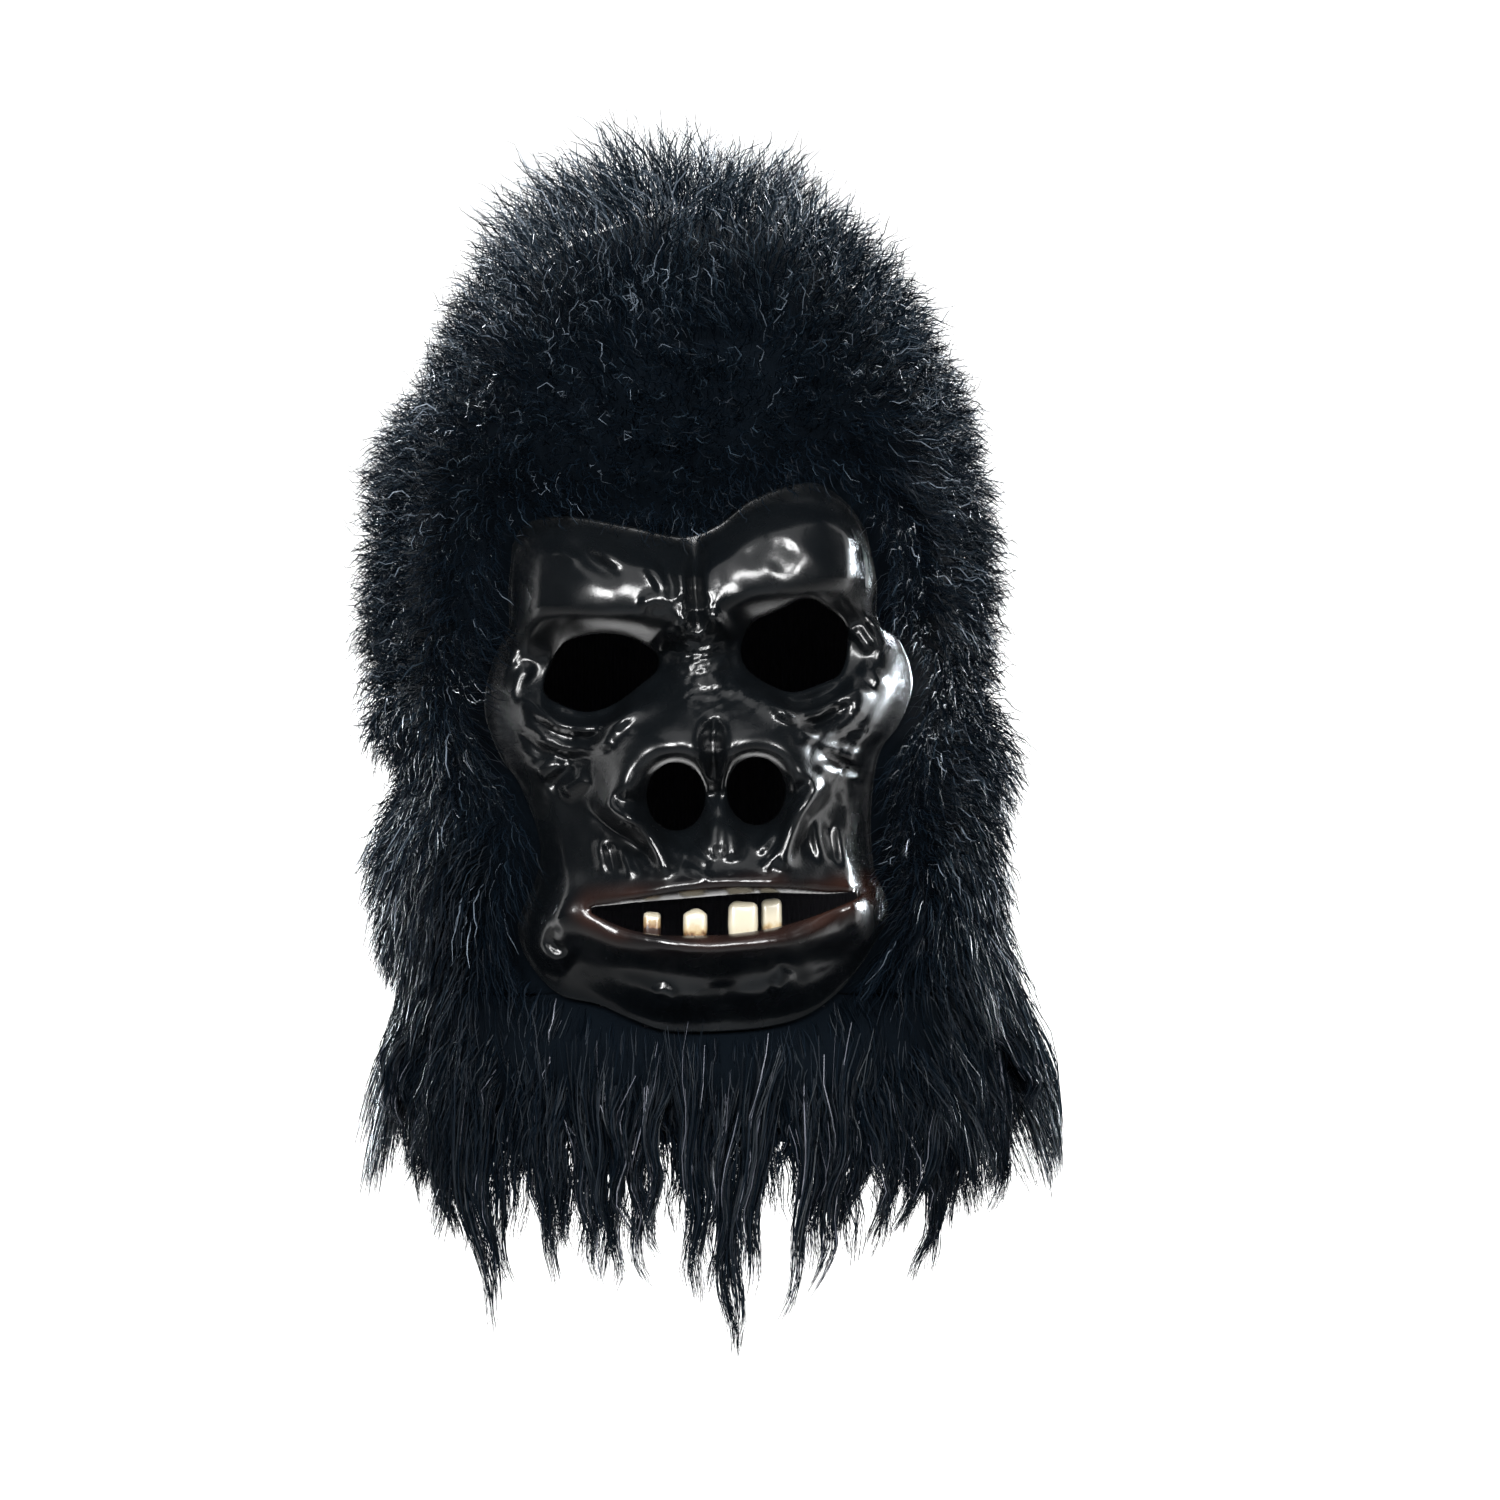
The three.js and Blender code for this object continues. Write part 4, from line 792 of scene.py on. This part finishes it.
def gum_ledge():
    rings = []
    for i, (left, right, gum, _, _) in enumerate(TEETH):
        x0, x1, z0, _, _ = tooth_front(left, right, gum)
        top = z0 - TOOTH_ROOT
        first = LEDGE_END if i == 0 else LEDGE_RUN
        last = LEDGE_END if i == len(TEETH) - 1 else LEDGE_RUN
        for at_x in (x0 - first, x1 + last):
            low = top - LEDGE_THICKNESS
            front = float(vinyl_y(np.array([at_x, at_x]), np.array([top, low])).max()) + LEDGE_SINK
            section = ((front, low), (front + LEDGE_DEPTH, low), (front + LEDGE_DEPTH, top), (front, top))
            rings.append([(at_x, a, c) for a, c in section])
    points = np.array(rings).reshape(-1, 3)
    faces = grid_faces(len(rings), 4, wrap=True)
    ends = np.array([(3, 2, 1, 0), (len(points) - 4, len(points) - 3, len(points) - 2, len(points) - 1)])
    ledge = make("gum_ledge", points, np.vstack([faces, ends]), vinyl_inside, smoothed=False)
    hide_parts("face_shell")


gum_ledge()


TOOTH_ROWS, TOOTH_COLUMNS, TOOTH_SQUARENESS = 26, 36, 0.62
# Widths and depths of a tooth along its height, as shares
TOOTH_WIDE = ((0, 0.45, 0.84), (0.84, 1, 0.97))
TOOTH_DEEP = ((0, 0.45, 0.8), (0.9, 1, 0.86))


def rounded_tip(up, run, power):
    return np.sqrt(np.clip(1 - np.clip((up - 1 + run) / run, 0, 1) ** power, 0, 1))


def tooth(number, left, right, gum, tip, stain):
    x0, x1, _, foot, front = tooth_front(left, right, gum)
    _, z1 = face_points([(left, tip)])[0]
    rows, columns = TOOTH_ROWS, TOOTH_COLUMNS
    up = 1 - np.linspace(0, 1, rows) ** 1.6
    wide = np.interp(up, *TOOTH_WIDE) * rounded_tip(up, 0.2, 2.4)
    deep = np.interp(up, *TOOTH_DEEP) * rounded_tip(up, 0.38, 2.6)
    angle = np.linspace(0, 2 * math.pi, columns, endpoint=False)
    soften = lambda v: np.sign(v) * np.abs(v) ** TOOTH_SQUARENESS
    worn = 1 + 0.03 * np.sin(2 * angle[None, :] + number) * up[:, None]
    tx = (x0 + x1) / 2 + (x1 - x0) / 2 * wide[:, None] * soften(np.cos(angle)) * worn
    ty = front + TOOTH_DEPTH / 2 + TOOTH_DEPTH / 2 * deep[:, None] * soften(np.sin(angle))
    uneven = 0.5 * np.sin(number * 2.1 + (tx - x0) * 0.9) * smooth(0.7, 1, up)[:, None]
    tz = mix(foot, z1, up)[:, None] + 0 * tx - 0.4 * smooth(0.7, 1, up)[:, None] + 0.6 * uneven
    points = np.stack([tx, ty, tz], -1).reshape(-1, 3)
    caps = np.array([points[:columns].mean(axis=0), points[-columns:].mean(axis=0)])
    top, low = len(points), len(points) + 1
    ring = np.arange(columns)
    following = (ring + 1) % columns
    last = (rows - 1) * columns
    faces = grid_faces(rows, columns, wrap=True)[:, ::-1]
    lids = np.vstack([
        np.stack([ring, following, following, 0 * ring + top], 1)[:, [0, 1, 3]],
        np.stack([last + following, last + ring, 0 * ring + low], 1),
    ])
    mesh = bpy.data.meshes.new(f"tooth_{number}_look")
    mesh.from_pydata((np.vstack([points, caps]) * MM).tolist(), [], faces.tolist() + lids.tolist())
    mesh.polygons.foreach_set("use_smooth", [True] * len(mesh.polygons))
    mesh.materials.append(enamel(f"enamel_{number}", stain))
    mesh.validate()
    look = link(mesh, f"tooth_{number}_look")
    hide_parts(f"tooth_{number}")


for number, row in enumerate(TEETH, 1):
    tooth(number, *row)

# Panels of the hood: the seam runs over the crown, and the beard's seam under the chin and down its sides
CLOTH_ROWS, CLOTH_COLUMNS, CROWN_START = 72, 128, 0.002


def in_beard(points, grow):
    return (points[..., 1] < -BEARD_FRONT + grow) & (points[..., 2] < BEARD_TOP + grow)


def panel_clamp(panel, points):
    """Moves points beyond the panel's seams onto them, with a small lap that lets no light through."""
    out = points.copy()
    if panel == "beard":
        out[:, 1] = np.minimum(out[:, 1], -BEARD_FRONT + SEAM_LAP)
        out[:, 2] = np.minimum(out[:, 2], BEARD_TOP + SEAM_LAP)
        return out
    out[:, 0] = np.minimum(out[:, 0], SEAM_LAP) if panel == "left" else np.maximum(out[:, 0], -SEAM_LAP)
    beyond = in_beard(out, -SEAM_LAP)
    to_side = -BEARD_FRONT - SEAM_LAP - out[:, 1]
    to_top = BEARD_TOP - SEAM_LAP - out[:, 2]
    out[:, 1] = np.where(beyond & (to_side < to_top), -BEARD_FRONT - SEAM_LAP, out[:, 1])
    out[:, 2] = np.where(beyond & (to_side >= to_top), BEARD_TOP - SEAM_LAP, out[:, 2])
    return out


def panel_has(panel, points):
    if panel == "beard":
        return in_beard(points, SEAM_LAP)
    side = points[:, 0] < -0.1 if panel == "left" else points[:, 0] > 0.1
    return side & ~in_beard(points, -SEAM_LAP)


def panel_grid(panel, lift, from_rim):
    """Points of the hood grid at a lift, and the panel's quads that lie at least from_rim outside the rim."""
    turns = np.arange(CLOTH_COLUMNS) * 2 * math.pi / CLOTH_COLUMNS
    grid = np.meshgrid(np.linspace(CROWN_START, 1, CLOTH_ROWS), turns, indexing="ij")
    along, angle = (one.ravel() for one in grid)
    base = hood_point(along, angle)
    clear = (base[:, 1] > 0) | (rim_distance(base[:, 0], base[:, 2]) > from_rim)
    quads = grid_faces(CLOTH_ROWS, CLOTH_COLUMNS, wrap=True)[:, ::-1]
    quads = quads[panel_has(panel, base)[quads].any(axis=1) & clear[quads].all(axis=1)]
    return quads, panel_clamp(panel, hood_at(along, angle, lift(along, angle)))


def flat_lift(distance):
    return lambda along, angle: np.full(along.shape, float(distance))


# Nodes of the cloth panels and of their pile
CLOTH_NODES = {"left": "hood_cloth_left", "right": "hood_cloth_right", "beard": "beard_cloth"}
FUR_NODES = {"left": "hood_fur_left", "right": "hood_fur_right", "beard": "beard_fur"}


def panel_sheet(name, panel, lift, inner_lift, look):
    quads, outer = panel_grid(panel, lift, -OVERLAP)
    _, inner = panel_grid(panel, flat_lift(inner_lift), -OVERLAP)
    points, faces, _ = thick_sheet(outer, inner, quads)
    return make(name, points, faces, look)


for panel, node_name in CLOTH_NODES.items():
    panel_sheet(f"backing_{panel}", panel, flat_lift(0), -WALL, backing)
    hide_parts(node_name)


# Pile
def pile_lift(along, angle):
    side = (1 + np.cos(angle)) / 2
    puff = mix(ring_value(PUFF_LEFT, along), ring_value(PUFF_RIGHT, along), side) * PILE
    puff = puff * (1 - 0.3 * smooth(0.9, 1, along))
    base = hood_point(along, angle)
    grown = np.where(base[..., 1] < 0, smooth(0, RIM_RUN, rim_distance(base[..., 0], base[..., 2])), 1)
    return mix(RIM_PILE, puff, grown)


UNDERCOAT_SHARE, UNDERCOAT_ROOT, UNDERCOAT_RIM = 0.45, 0.12, 0.3


def undercoat_lift(along, angle):
    base = hood_point(along, angle)
    near = np.where(base[:, 1] < 0, smooth(3, 13, rim_distance(base[:, 0], base[:, 2])), 1)
    return UNDERCOAT_RIM + UNDERCOAT_SHARE * pile_lift(along, angle) * near * smooth(1.0, 0.95, along)


for panel, node_name in FUR_NODES.items():
    undercoat = panel_sheet(f"undercoat_{panel}", panel, undercoat_lift, UNDERCOAT_ROOT, undercoat_look)
    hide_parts(node_name)

SHARE = 1.0


def ribbons(paths, width):
    """Points and quads of flat tapering ribbons along paths of shape (strands, steps, 3)."""
    strands, steps, _ = paths.shape
    tangent = unit(np.gradient(paths, axis=1))
    turn = unit(rng.normal(size=(strands, 1, 3)))
    across = unit(np.cross(tangent, turn))
    u = np.linspace(0, 1, steps)
    taper = (0.35 + 0.65 * smooth(0, 0.35, u)) * np.sqrt(1 - 0.97 * u)
    half = np.asarray(width)[:, None, None] * taper[None, :, None] / 2
    points = np.stack([paths - across * half, paths + across * half], axis=2).reshape(-1, 3)
    base = np.arange(strands)[:, None] * steps * 2 + np.arange(steps - 1)[None, :] * 2
    quads = np.stack([base, base + 1, base + 3, base + 2], axis=-1).reshape(-1, 4)
    return points, quads


# Shares of the strands that are at least navy, and that are grey and pale where the painted highlight is
# full: the paler tones paint glints and rim light onto the fur
NAVY_SHARE, NAVY_PAINTED_HIGHLIGHT, GREY_PAINTED_HIGHLIGHT, PALE_PAINTED_HIGHLIGHT = 0.5, 0.3, 0.42, 0.11


def fur_piece(name, node_name, paths, width, tones, painted_highlight):
    """A piece of pile; a strand's painted highlight, 0 to 1, is how likely it has one of the paler tones,
    which paint glints and rim light.
    """
    points, quads = ribbons(paths, width)
    draw = rng.uniform(0, 1, len(paths))
    tone = (draw < NAVY_SHARE + NAVY_PAINTED_HIGHLIGHT * painted_highlight).astype(int)
    tone = tone + (draw < GREY_PAINTED_HIGHLIGHT * painted_highlight) + (draw < PALE_PAINTED_HIGHLIGHT * painted_highlight)
    piece = make(name, points, quads, tones, tones=np.repeat(tone, paths.shape[1] - 1))
    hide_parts(node_name)


def hood_roots(count, allowed):
    """Roots spread evenly over the hood form, as places along and round it."""
    rows, columns = 150, 200
    along = (np.arange(rows) + 0.5) / rows
    angle = (np.arange(columns) + 0.5) * 2 * math.pi / columns
    a, b = (one.ravel() for one in np.meshgrid(along, angle, indexing="ij"))
    step = 0.003
    down = hood_point(np.minimum(a + step, 1), b) - hood_point(np.maximum(a - step, 0), b)
    around = hood_point(a, b + step) - hood_point(a, b - step)
    weight = np.linalg.norm(np.cross(down, around), axis=1)
    base = hood_point(a, b)
    weight = weight * np.where(base[:, 1] < 30, 1.3, 1.0) * allowed(a, b)
    cell = rng.choice(len(a), size=count, p=weight / weight.sum())
    a = np.clip(a[cell] + rng.uniform(-0.5, 0.5, count) / rows, 0.002, 0.999)
    b = b[cell] + rng.uniform(-0.5, 0.5, count) * 2 * math.pi / columns
    good = allowed(a, b) > 0
    return a[good], b[good]


def clump(paths, roots, spacing, strength):
    """Draws each strand towards a guide strand near it, more at the tip."""
    count = len(paths)
    guides = np.arange(0, count, spacing)
    tree = kdtree.KDTree(len(guides))
    for i, g in enumerate(guides):
        tree.insert(Vector(roots[g]), i)
    tree.balance()
    nearest = np.array([guides[tree.find(Vector(root))[1]] for root in roots])
    u = np.linspace(0, 1, paths.shape[1])[None, :, None]
    offset = (roots - roots[nearest])[:, None, :]
    target = paths[nearest] + offset * (1 - 0.8 * u)
    return mix(paths, target, np.asarray(strength)[:, None, None] * u**0.9), nearest


def waves(u, side_a, side_b, size, turns, phase):
    """A curl round a strand."""
    angle = 2 * math.pi * (turns[:, None] * u + phase[:, None])
    reach = size[:, None] * u
    curl_a, curl_b = (reach * np.cos(angle))[..., None], (reach * np.sin(angle))[..., None]
    return curl_a * side_a[:, None, :] + curl_b * side_b[:, None, :]


# Heights between which the pile turns from standing to hanging, and the width that it keeps within
HANG_FROM, HANG_FULL, HOOD_LIMIT = -125, -235, 117
HANG_RUN, HANG_DROP = 20, 8
OVER_RIM_FORWARD, OVER_RIM_INWARD, RIM_CLEAR = 11, 7, 0.4
LEAN_SPREAD, HEIGHT_RANGE, CURL_TURNS, CURL_STANDING, CURL_HANGING = 0.45, (0.82, 1.14), 1.9, 1.6, 1.3
HOOD_CLUMP, CHIN_CLUMP, HOOD_PULL, CHIN_PULL = 12, 22, (0.15, 0.55), (0.5, 0.9)
GOLDEN = 0.618
# Painted highlight of the pile: everywhere, added away from the face so that the pile by the face is in
# painted shade, added at the outline as painted rim light, in spots, and lost below as painted shade
PAINTED_HIGHLIGHT_BASE, PAINTED_HIGHLIGHT_OUTER, PAINTED_RIM_LIGHT, PAINTED_HIGHLIGHT_SPOTS, PAINTED_SHADE_BELOW = 0.12, 0.55, 0.35, 0.6, 0.35


def hood_strands(panel, count, steps):
    def allowed(a, b):
        base = hood_point(a, b)
        side = base[:, 0] < 0 if panel == "left" else base[:, 0] >= 0
        clear = (base[:, 1] > 0) | (rim_distance(base[:, 0], base[:, 2]) > RIM_CLEAR)
        return (side & clear & ~in_beard(base, 0)).astype(float)

    a, b = hood_roots(count, allowed)
    n = len(a)
    base = hood_point(a, b)
    normal, down, around = hood_frame(a, b)
    lift = pile_lift(a, b)
    low = smooth(HANG_FROM, HANG_FULL, base[:, 2])
    gap = np.where(base[:, 1] < 10, rim_distance(base[:, 0], base[:, 2]), 99)
    near_rim = 1 - smooth(2, 30, gap)
    from_face = base - np.array([FACE_OFFSET, 0, -EYE_DROP - 30])
    from_face[:, 1] *= 0.2
    from_face = unit(from_face - normal * (from_face * normal).sum(axis=1, keepdims=True))
    swirl_a = lattice_noise(base[:, 0] + base[:, 1] * 0.7, base[:, 2], 15, 51)
    swirl_b = lattice_noise(base[:, 0] - base[:, 1] * 0.7, base[:, 2], 16, 52)
    lean = down * (0.15 + 0.75 * low + 0.4 * swirl_a)[:, None] + around * (0.6 * swirl_b)[:, None]
    to_side = np.abs(from_face[:, 0])
    lean = lean - from_face * (near_rim * (0.4 + 0.6 * to_side))[:, None]
    lean = lean + rng.uniform(-LEAN_SPREAD, LEAN_SPREAD, (n, 3)) * (1 - 0.6 * low)[:, None]
    reach = lift * mix(0.6, 0.9, low) + HANG_RUN * low * smooth(0.8, 1, a) + (3 + 3 * to_side) * near_rim
    u = np.linspace(0, 1, steps)
    rise = mix(UNDERCOAT_SHARE, 1, 1 - (1 - u) ** 1.4)
    height = lift * rng.uniform(*HEIGHT_RANGE, n) * (1 + 0.14 * swirl_a)
    height *= 1 + 0.16 * smooth(0.4, 0.9, normal[:, 2])
    paths = (
        base[:, None, :]
        + normal[:, None, :] * (ROOT_GAP + height[:, None] * rise)[..., None]
        + lean[:, None, :] * (reach[:, None] * u**1.4)[..., None]
    )
    paths[..., 2] -= (low * HANG_DROP)[:, None] * u**2
    paths, guide = clump(paths, base, HOOD_CLUMP, rng.uniform(*HOOD_PULL, n) * mix(1, 0.5, near_rim))
    size = mix(CURL_STANDING, CURL_HANGING, low) * mix(1, 0.7, near_rim) * rng.uniform(0.5, 1.5, n)
    phase = (guide * GOLDEN) % 1 + rng.uniform(-0.3, 0.3, n)
    paths = paths + waves(u**0.6, down, around, size, CURL_TURNS + (guide * 0.37) % 1 * 1.1, phase)
    # At the sides of the vinyl the pile falls forward over its rim
    close = (1 - smooth(1, 12, gap)) * smooth(0.35, 0.8, np.abs(normal[:, 0]))
    paths[..., 1] -= (OVER_RIM_FORWARD * close)[:, None] * u**1.1
    paths[..., 0] -= (OVER_RIM_INWARD * close * np.sign(normal[:, 0]))[:, None] * u**1.6
    beyond = np.abs(paths[..., 0]) - HOOD_LIMIT
    paths[..., 0] -= np.sign(paths[..., 0]) * np.maximum(0, beyond) * 0.75
    # Paler tones away from the face and at the sides of the outline: painted shade by the face, painted rim
    # light at the outline, painted shade lower down
    outer = smooth(12, 70, gap) * np.where(base[:, 1] > 30, 0.7, 1.0)
    spots = 1 + PAINTED_HIGHLIGHT_SPOTS * lattice_noise(base[:, 0], base[:, 2], 9, 53)
    edge = np.abs(normal[:, 1]) < 0.45
    painted_highlight = (PAINTED_HIGHLIGHT_BASE + PAINTED_HIGHLIGHT_OUTER * outer) * spots + PAINTED_RIM_LIGHT * edge
    return paths, np.clip(painted_highlight * (1 - PAINTED_SHADE_BELOW * smooth(-50, -130, base[:, 2])), 0, 1)


HOOD_COUNT, HOOD_STEPS, HOOD_PIECES = int(22500 * SHARE), 7, 2
HOOD_STRAND, BEARD_STRAND = (0.35, 0.62), (0.35, 0.6)
for panel in ("left", "right"):
    paths, painted_highlight = hood_strands(panel, HOOD_COUNT, HOOD_STEPS)
    width = rng.uniform(*HOOD_STRAND, len(paths))
    for part in range(HOOD_PIECES):
        some = slice(part, None, HOOD_PIECES)
        name = f"pile_{panel}_{part + 1}"
        fur_piece(name, FUR_NODES[panel], paths[some], width[some], FUR_TONES, painted_highlight[some])


# Beard
def lock_paths(table, along, depth):
    """Root, middle and tip of each lock, and the direction across it."""
    nearest = -BEARD_FRONT - LOCK_WIDTH / 2
    rows = []
    for across, drop, sway in table:
        angle = 1.5 * math.pi + across * LOCK_SPREAD
        root = hood_at(np.array([along]), np.array([angle]), np.array([PILE * depth]))[0]
        root[1] = min(root[1], nearest)
        root[2] += LOCK_RISE
        tip = np.array([across * HALF_WIDTH, root[1], -drop * HEIGHT])
        middle = mix(root, tip, LOCK_BEND)
        middle[0] += sway * LOCK_WIDTH
        rows.append((root, middle, tip, unit(np.array([-tip[1], tip[0], 0]))))
    return rows


TWISTS, LOCK_BACK, LOCK_FAN, LOCK_DRAWN = 4, 17, 0.8, 0.55
# Half width of a twist at its tip, and what is added at the root and along it
TWIST_TIP, TWIST_ROOT, TWIST_BODY = 2.0, 6.5, 1.2
TWIST_REACH, ROOT_SHIFT, LOCK_TURNS, LOCK_CURL = (0.72, 1.0), (-9, 14), (1.8, 3.0), (1.2, 2.8)
STRAND_START, STRAND_CUT, STRAND_FUZZ = (0.03, 0.36), 0.45, 0.3


def beard_strands(locks, per_lock, steps):
    """Each lock is a few twists of strands, wide at the top and drawn together below."""
    u = np.linspace(0, 1, steps)
    wide = TWIST_TIP + TWIST_ROOT * (1 - smooth(0, 0.4, u)) + TWIST_BODY * (1 - u)
    count = max(2, int(per_lock / TWISTS))
    out = []
    for root, middle, tip, side in locks:
        outward = np.cross(side, np.array([0, 0, 1.0]))
        for twist in range(TWISTS):
            r = u * rng.uniform(*TWIST_REACH)
            centre = np.outer((1 - r) ** 2, root) + np.outer(2 * r * (1 - r), middle) + np.outer(r**2, tip)
            off = ((twist + 0.5) / TWISTS - 0.5) * LOCK_WIDTH * LOCK_FAN
            depth = rng.uniform(-0.35, 0.35) * LOCK_THICKNESS
            spread = mix(1.0, LOCK_DRAWN, u)
            centre += np.outer(off * spread, side) + np.outer(depth * spread, outward)
            centre -= np.outer(LOCK_BACK * (1 - u) ** 3, outward)
            centre[:, 2] += rng.uniform(*ROOT_SHIFT) * (1 - u) ** 2
            phase, turns = rng.uniform(0, 1), rng.uniform(*LOCK_TURNS)
            size = rng.uniform(*LOCK_CURL)
            wave = 2 * math.pi * (turns * u + phase)
            centre += np.outer(size * u**0.5 * np.sin(wave), side)
            centre += np.outer(0.7 * size * u * np.cos(wave), outward)
            radius = np.sqrt(rng.uniform(0, 1, count))[:, None] * wide
            theta = rng.uniform(0, 2 * math.pi, count)[:, None] + 2.5 * u
            strands = centre + (radius * np.cos(theta))[..., None] * side
            strands = strands + (radius * np.sin(theta))[..., None] * outward
            strands = strands + rng.normal(scale=STRAND_FUZZ, size=(count, steps, 3))
            begin = rng.uniform(*STRAND_START, count)
            stop = 1 - STRAND_CUT * rng.uniform(0, 1, count) ** 1.6
            where = (begin[:, None] + (stop - begin)[:, None] * u) * (steps - 1)
            first = np.minimum(where.astype(int), steps - 2)
            each = np.arange(count)[:, None]
            out.append(mix(strands[each, first], strands[each, first + 1], (where - first)[..., None]))
    return np.concatenate(out)


CHIN_LIFT, CHIN_FALL, CHIN_SWING, CHIN_FUZZ = (0.5, 1.05), (18, 44), 2.2, 0.35
CHIN_CURL, CHIN_TURNS = (0.8, 1.8), 1.4


def chin_strands(count, steps):
    """The pile of the beard panel, which falls over the roots of the locks."""
    def allowed(a, b):
        base = hood_point(a, b)
        return (in_beard(base, 2) & (rim_distance(base[:, 0], base[:, 2]) > RIM_GAP)).astype(float)

    a, b = hood_roots(count, allowed)
    n = len(a)
    base = hood_point(a, b)
    normal, _, around = hood_frame(a, b)
    u = np.linspace(0, 1, steps)
    lift = pile_lift(a, b) * rng.uniform(*CHIN_LIFT, n)
    fall = rng.uniform(*CHIN_FALL, n)
    stand = ROOT_GAP + lift[:, None] * (1 - (1 - u) ** 2)
    paths = base[:, None, :] + normal[:, None, :] * stand[..., None]
    paths[..., 2] -= fall[:, None] * u**1.3
    paths[..., 0] += rng.normal(scale=CHIN_SWING, size=n)[:, None] * u
    paths, guide = clump(paths, base, CHIN_CLUMP, rng.uniform(*CHIN_PULL, n))
    phase = (guide * GOLDEN) % 1 + rng.uniform(-0.12, 0.12, n)
    paths = paths + rng.normal(scale=CHIN_FUZZ, size=(n, steps, 3)) * u[:, None]
    size, turns = rng.uniform(*CHIN_CURL, n), CHIN_TURNS + (guide * 0.37) % 1
    return paths + waves(u, around, normal, size, turns, phase)


def beard_piece(name, paths, painted_highlight):
    fur_piece(name, FUR_NODES["beard"], paths, rng.uniform(*BEARD_STRAND, len(paths)), BEARD_TONES, painted_highlight)


LONG_STRANDS, SHORT_STRANDS, CHIN_STRANDS = 400, 320, 5400
BEARD_STEPS, CHIN_STEPS = 10, 8
long_paths = beard_strands(lock_paths(LONG_LOCKS, 0.95, 0.72), LONG_STRANDS * SHARE, BEARD_STEPS)
# Painted highlight of the beard's pieces: most on the long locks and least on the chin pile, which is a
# painted shade under the chin
beard_piece("beard_long", long_paths, 0.4)
short_paths = beard_strands(lock_paths(SHORT_LOCKS, 0.985, 0.48), SHORT_STRANDS * SHARE, BEARD_STEPS)
chin_paths = chin_strands(int(CHIN_STRANDS * SHARE), CHIN_STEPS)
beard_piece("beard_short", short_paths, 0.28)
beard_piece("chin_pile", chin_paths, 0.1)

# Stage: a pale floor that sweeps up into a lit backdrop
FLOOR, FLOOR_FRONT, FLOOR_BACK, BACKDROP, SWEEP, STAGE_TOP, STAGE_HALF = -1.3, -4.0, 0.9, 2.6, 0.8, 3.5, 5.0
profile = [(FLOOR_FRONT, FLOOR), (FLOOR_BACK, FLOOR)]
for a in np.linspace(0, math.pi / 2, 13):
    profile.append((BACKDROP - SWEEP + SWEEP * math.sin(a), FLOOR + SWEEP - SWEEP * math.cos(a)))
profile.append((BACKDROP, STAGE_TOP))
stage_points = [(side * STAGE_HALF, a, c) for a, c in profile for side in (-1, 1)]
stage_faces = [(2 * i, 2 * i + 1, 2 * i + 3, 2 * i + 2) for i in range(len(profile) - 1)]
stage_mesh = bpy.data.meshes.new("floor")
stage_mesh.from_pydata(stage_points, [], stage_faces)
stage_mesh.polygons.foreach_set("use_smooth", [True] * len(stage_faces))
paper = material("paper", (0.55, 0.55, 0.55), 0.9, 0.1)
lit_paper = material("lit_paper", (0.85, 0.85, 0.85), 0.9, 0.1)
surface(lit_paper, "Emission Color", (1, 1, 1, 1))
surface(lit_paper, "Emission Strength", 1.0)
stage_mesh.materials.append(paper)
stage_mesh.materials.append(lit_paper)
stage_mesh.polygons.foreach_set("material_index", [0] + [1] * (len(stage_faces) - 1))
stage = bpy.data.objects.new("floor", stage_mesh)
bpy.context.scene.collection.objects.link(stage)

FACE_AIM, HOOD_AIM, CROWN_AIM = (0.0, -0.1, -0.15), (0, 0, -0.1), (0, 0, 0)
WHITE, COOL = (1, 1, 1), (0.85, 0.93, 1)
# Each softbox: place, aim, width and height, power, spread in degrees, color
SOFTBOXES = {
    "key_left": ((-1.0, -1.8, 0.6), FACE_AIM, (0.6, 1.0), 9, 60, WHITE),
    "key_right": ((1.1, -1.75, 0.6), FACE_AIM, (0.6, 1.0), 7.5, 60, WHITE),
    "key_front": ((0.05, -2.0, 1.1), FACE_AIM, (0.9, 0.8), 7.5, 60, WHITE),
    "top": ((0.0, -0.6, 1.5), (0, -0.1, -0.1), (2.0, 2.0), 5.5, 130, WHITE),
    "rim_left": ((-1.1, 1.5, 0.1), HOOD_AIM, (0.5, 0.5), 7, 35, COOL),
    "rim_right": ((1.1, 1.5, 0.1), HOOD_AIM, (0.5, 0.5), 6, 35, COOL),
    "rim_top": ((0.0, 1.3, 1.2), CROWN_AIM, (0.8, 0.5), 5, 35, COOL),
}
for name, (place, aim, size, power, spread, color) in SOFTBOXES.items():
    light = bpy.data.lights.new(name, "AREA")
    light.spread = math.radians(spread)
    light.shape = "RECTANGLE"
    light.size, light.size_y = size
    light.energy, light.color = power, color
    softbox = bpy.data.objects.new(name, light)
    softbox.location = place
    softbox.rotation_euler = (Vector(aim) - Vector(place)).to_track_quat("-Z", "Y").to_euler()
    bpy.context.scene.collection.objects.link(softbox)
world = bpy.data.worlds.new("studio")
world.use_nodes = True
world.node_tree.nodes["Background"].inputs["Color"].default_value = (1, 1, 1, 1)
world.node_tree.nodes["Background"].inputs["Strength"].default_value = 0.02
bpy.context.scene.world = world

CAMERA_X, CAMERA_Z, EYE_PLANE, DISTANCE, FIELD = 0.0186, -0.1566, -0.092, 2.2, 0.465
camera_data = bpy.data.cameras.new("camera")
camera_data.angle = 2 * math.atan(FIELD / 2 / DISTANCE)
camera = bpy.data.objects.new("camera", camera_data)
camera.location = (CAMERA_X, EYE_PLANE - DISTANCE, CAMERA_Z)
camera.rotation_euler = (math.pi / 2, 0, 0)
bpy.context.scene.collection.objects.link(camera)
bpy.context.scene.camera = camera
bpy.context.scene.view_settings.view_transform = "Standard"
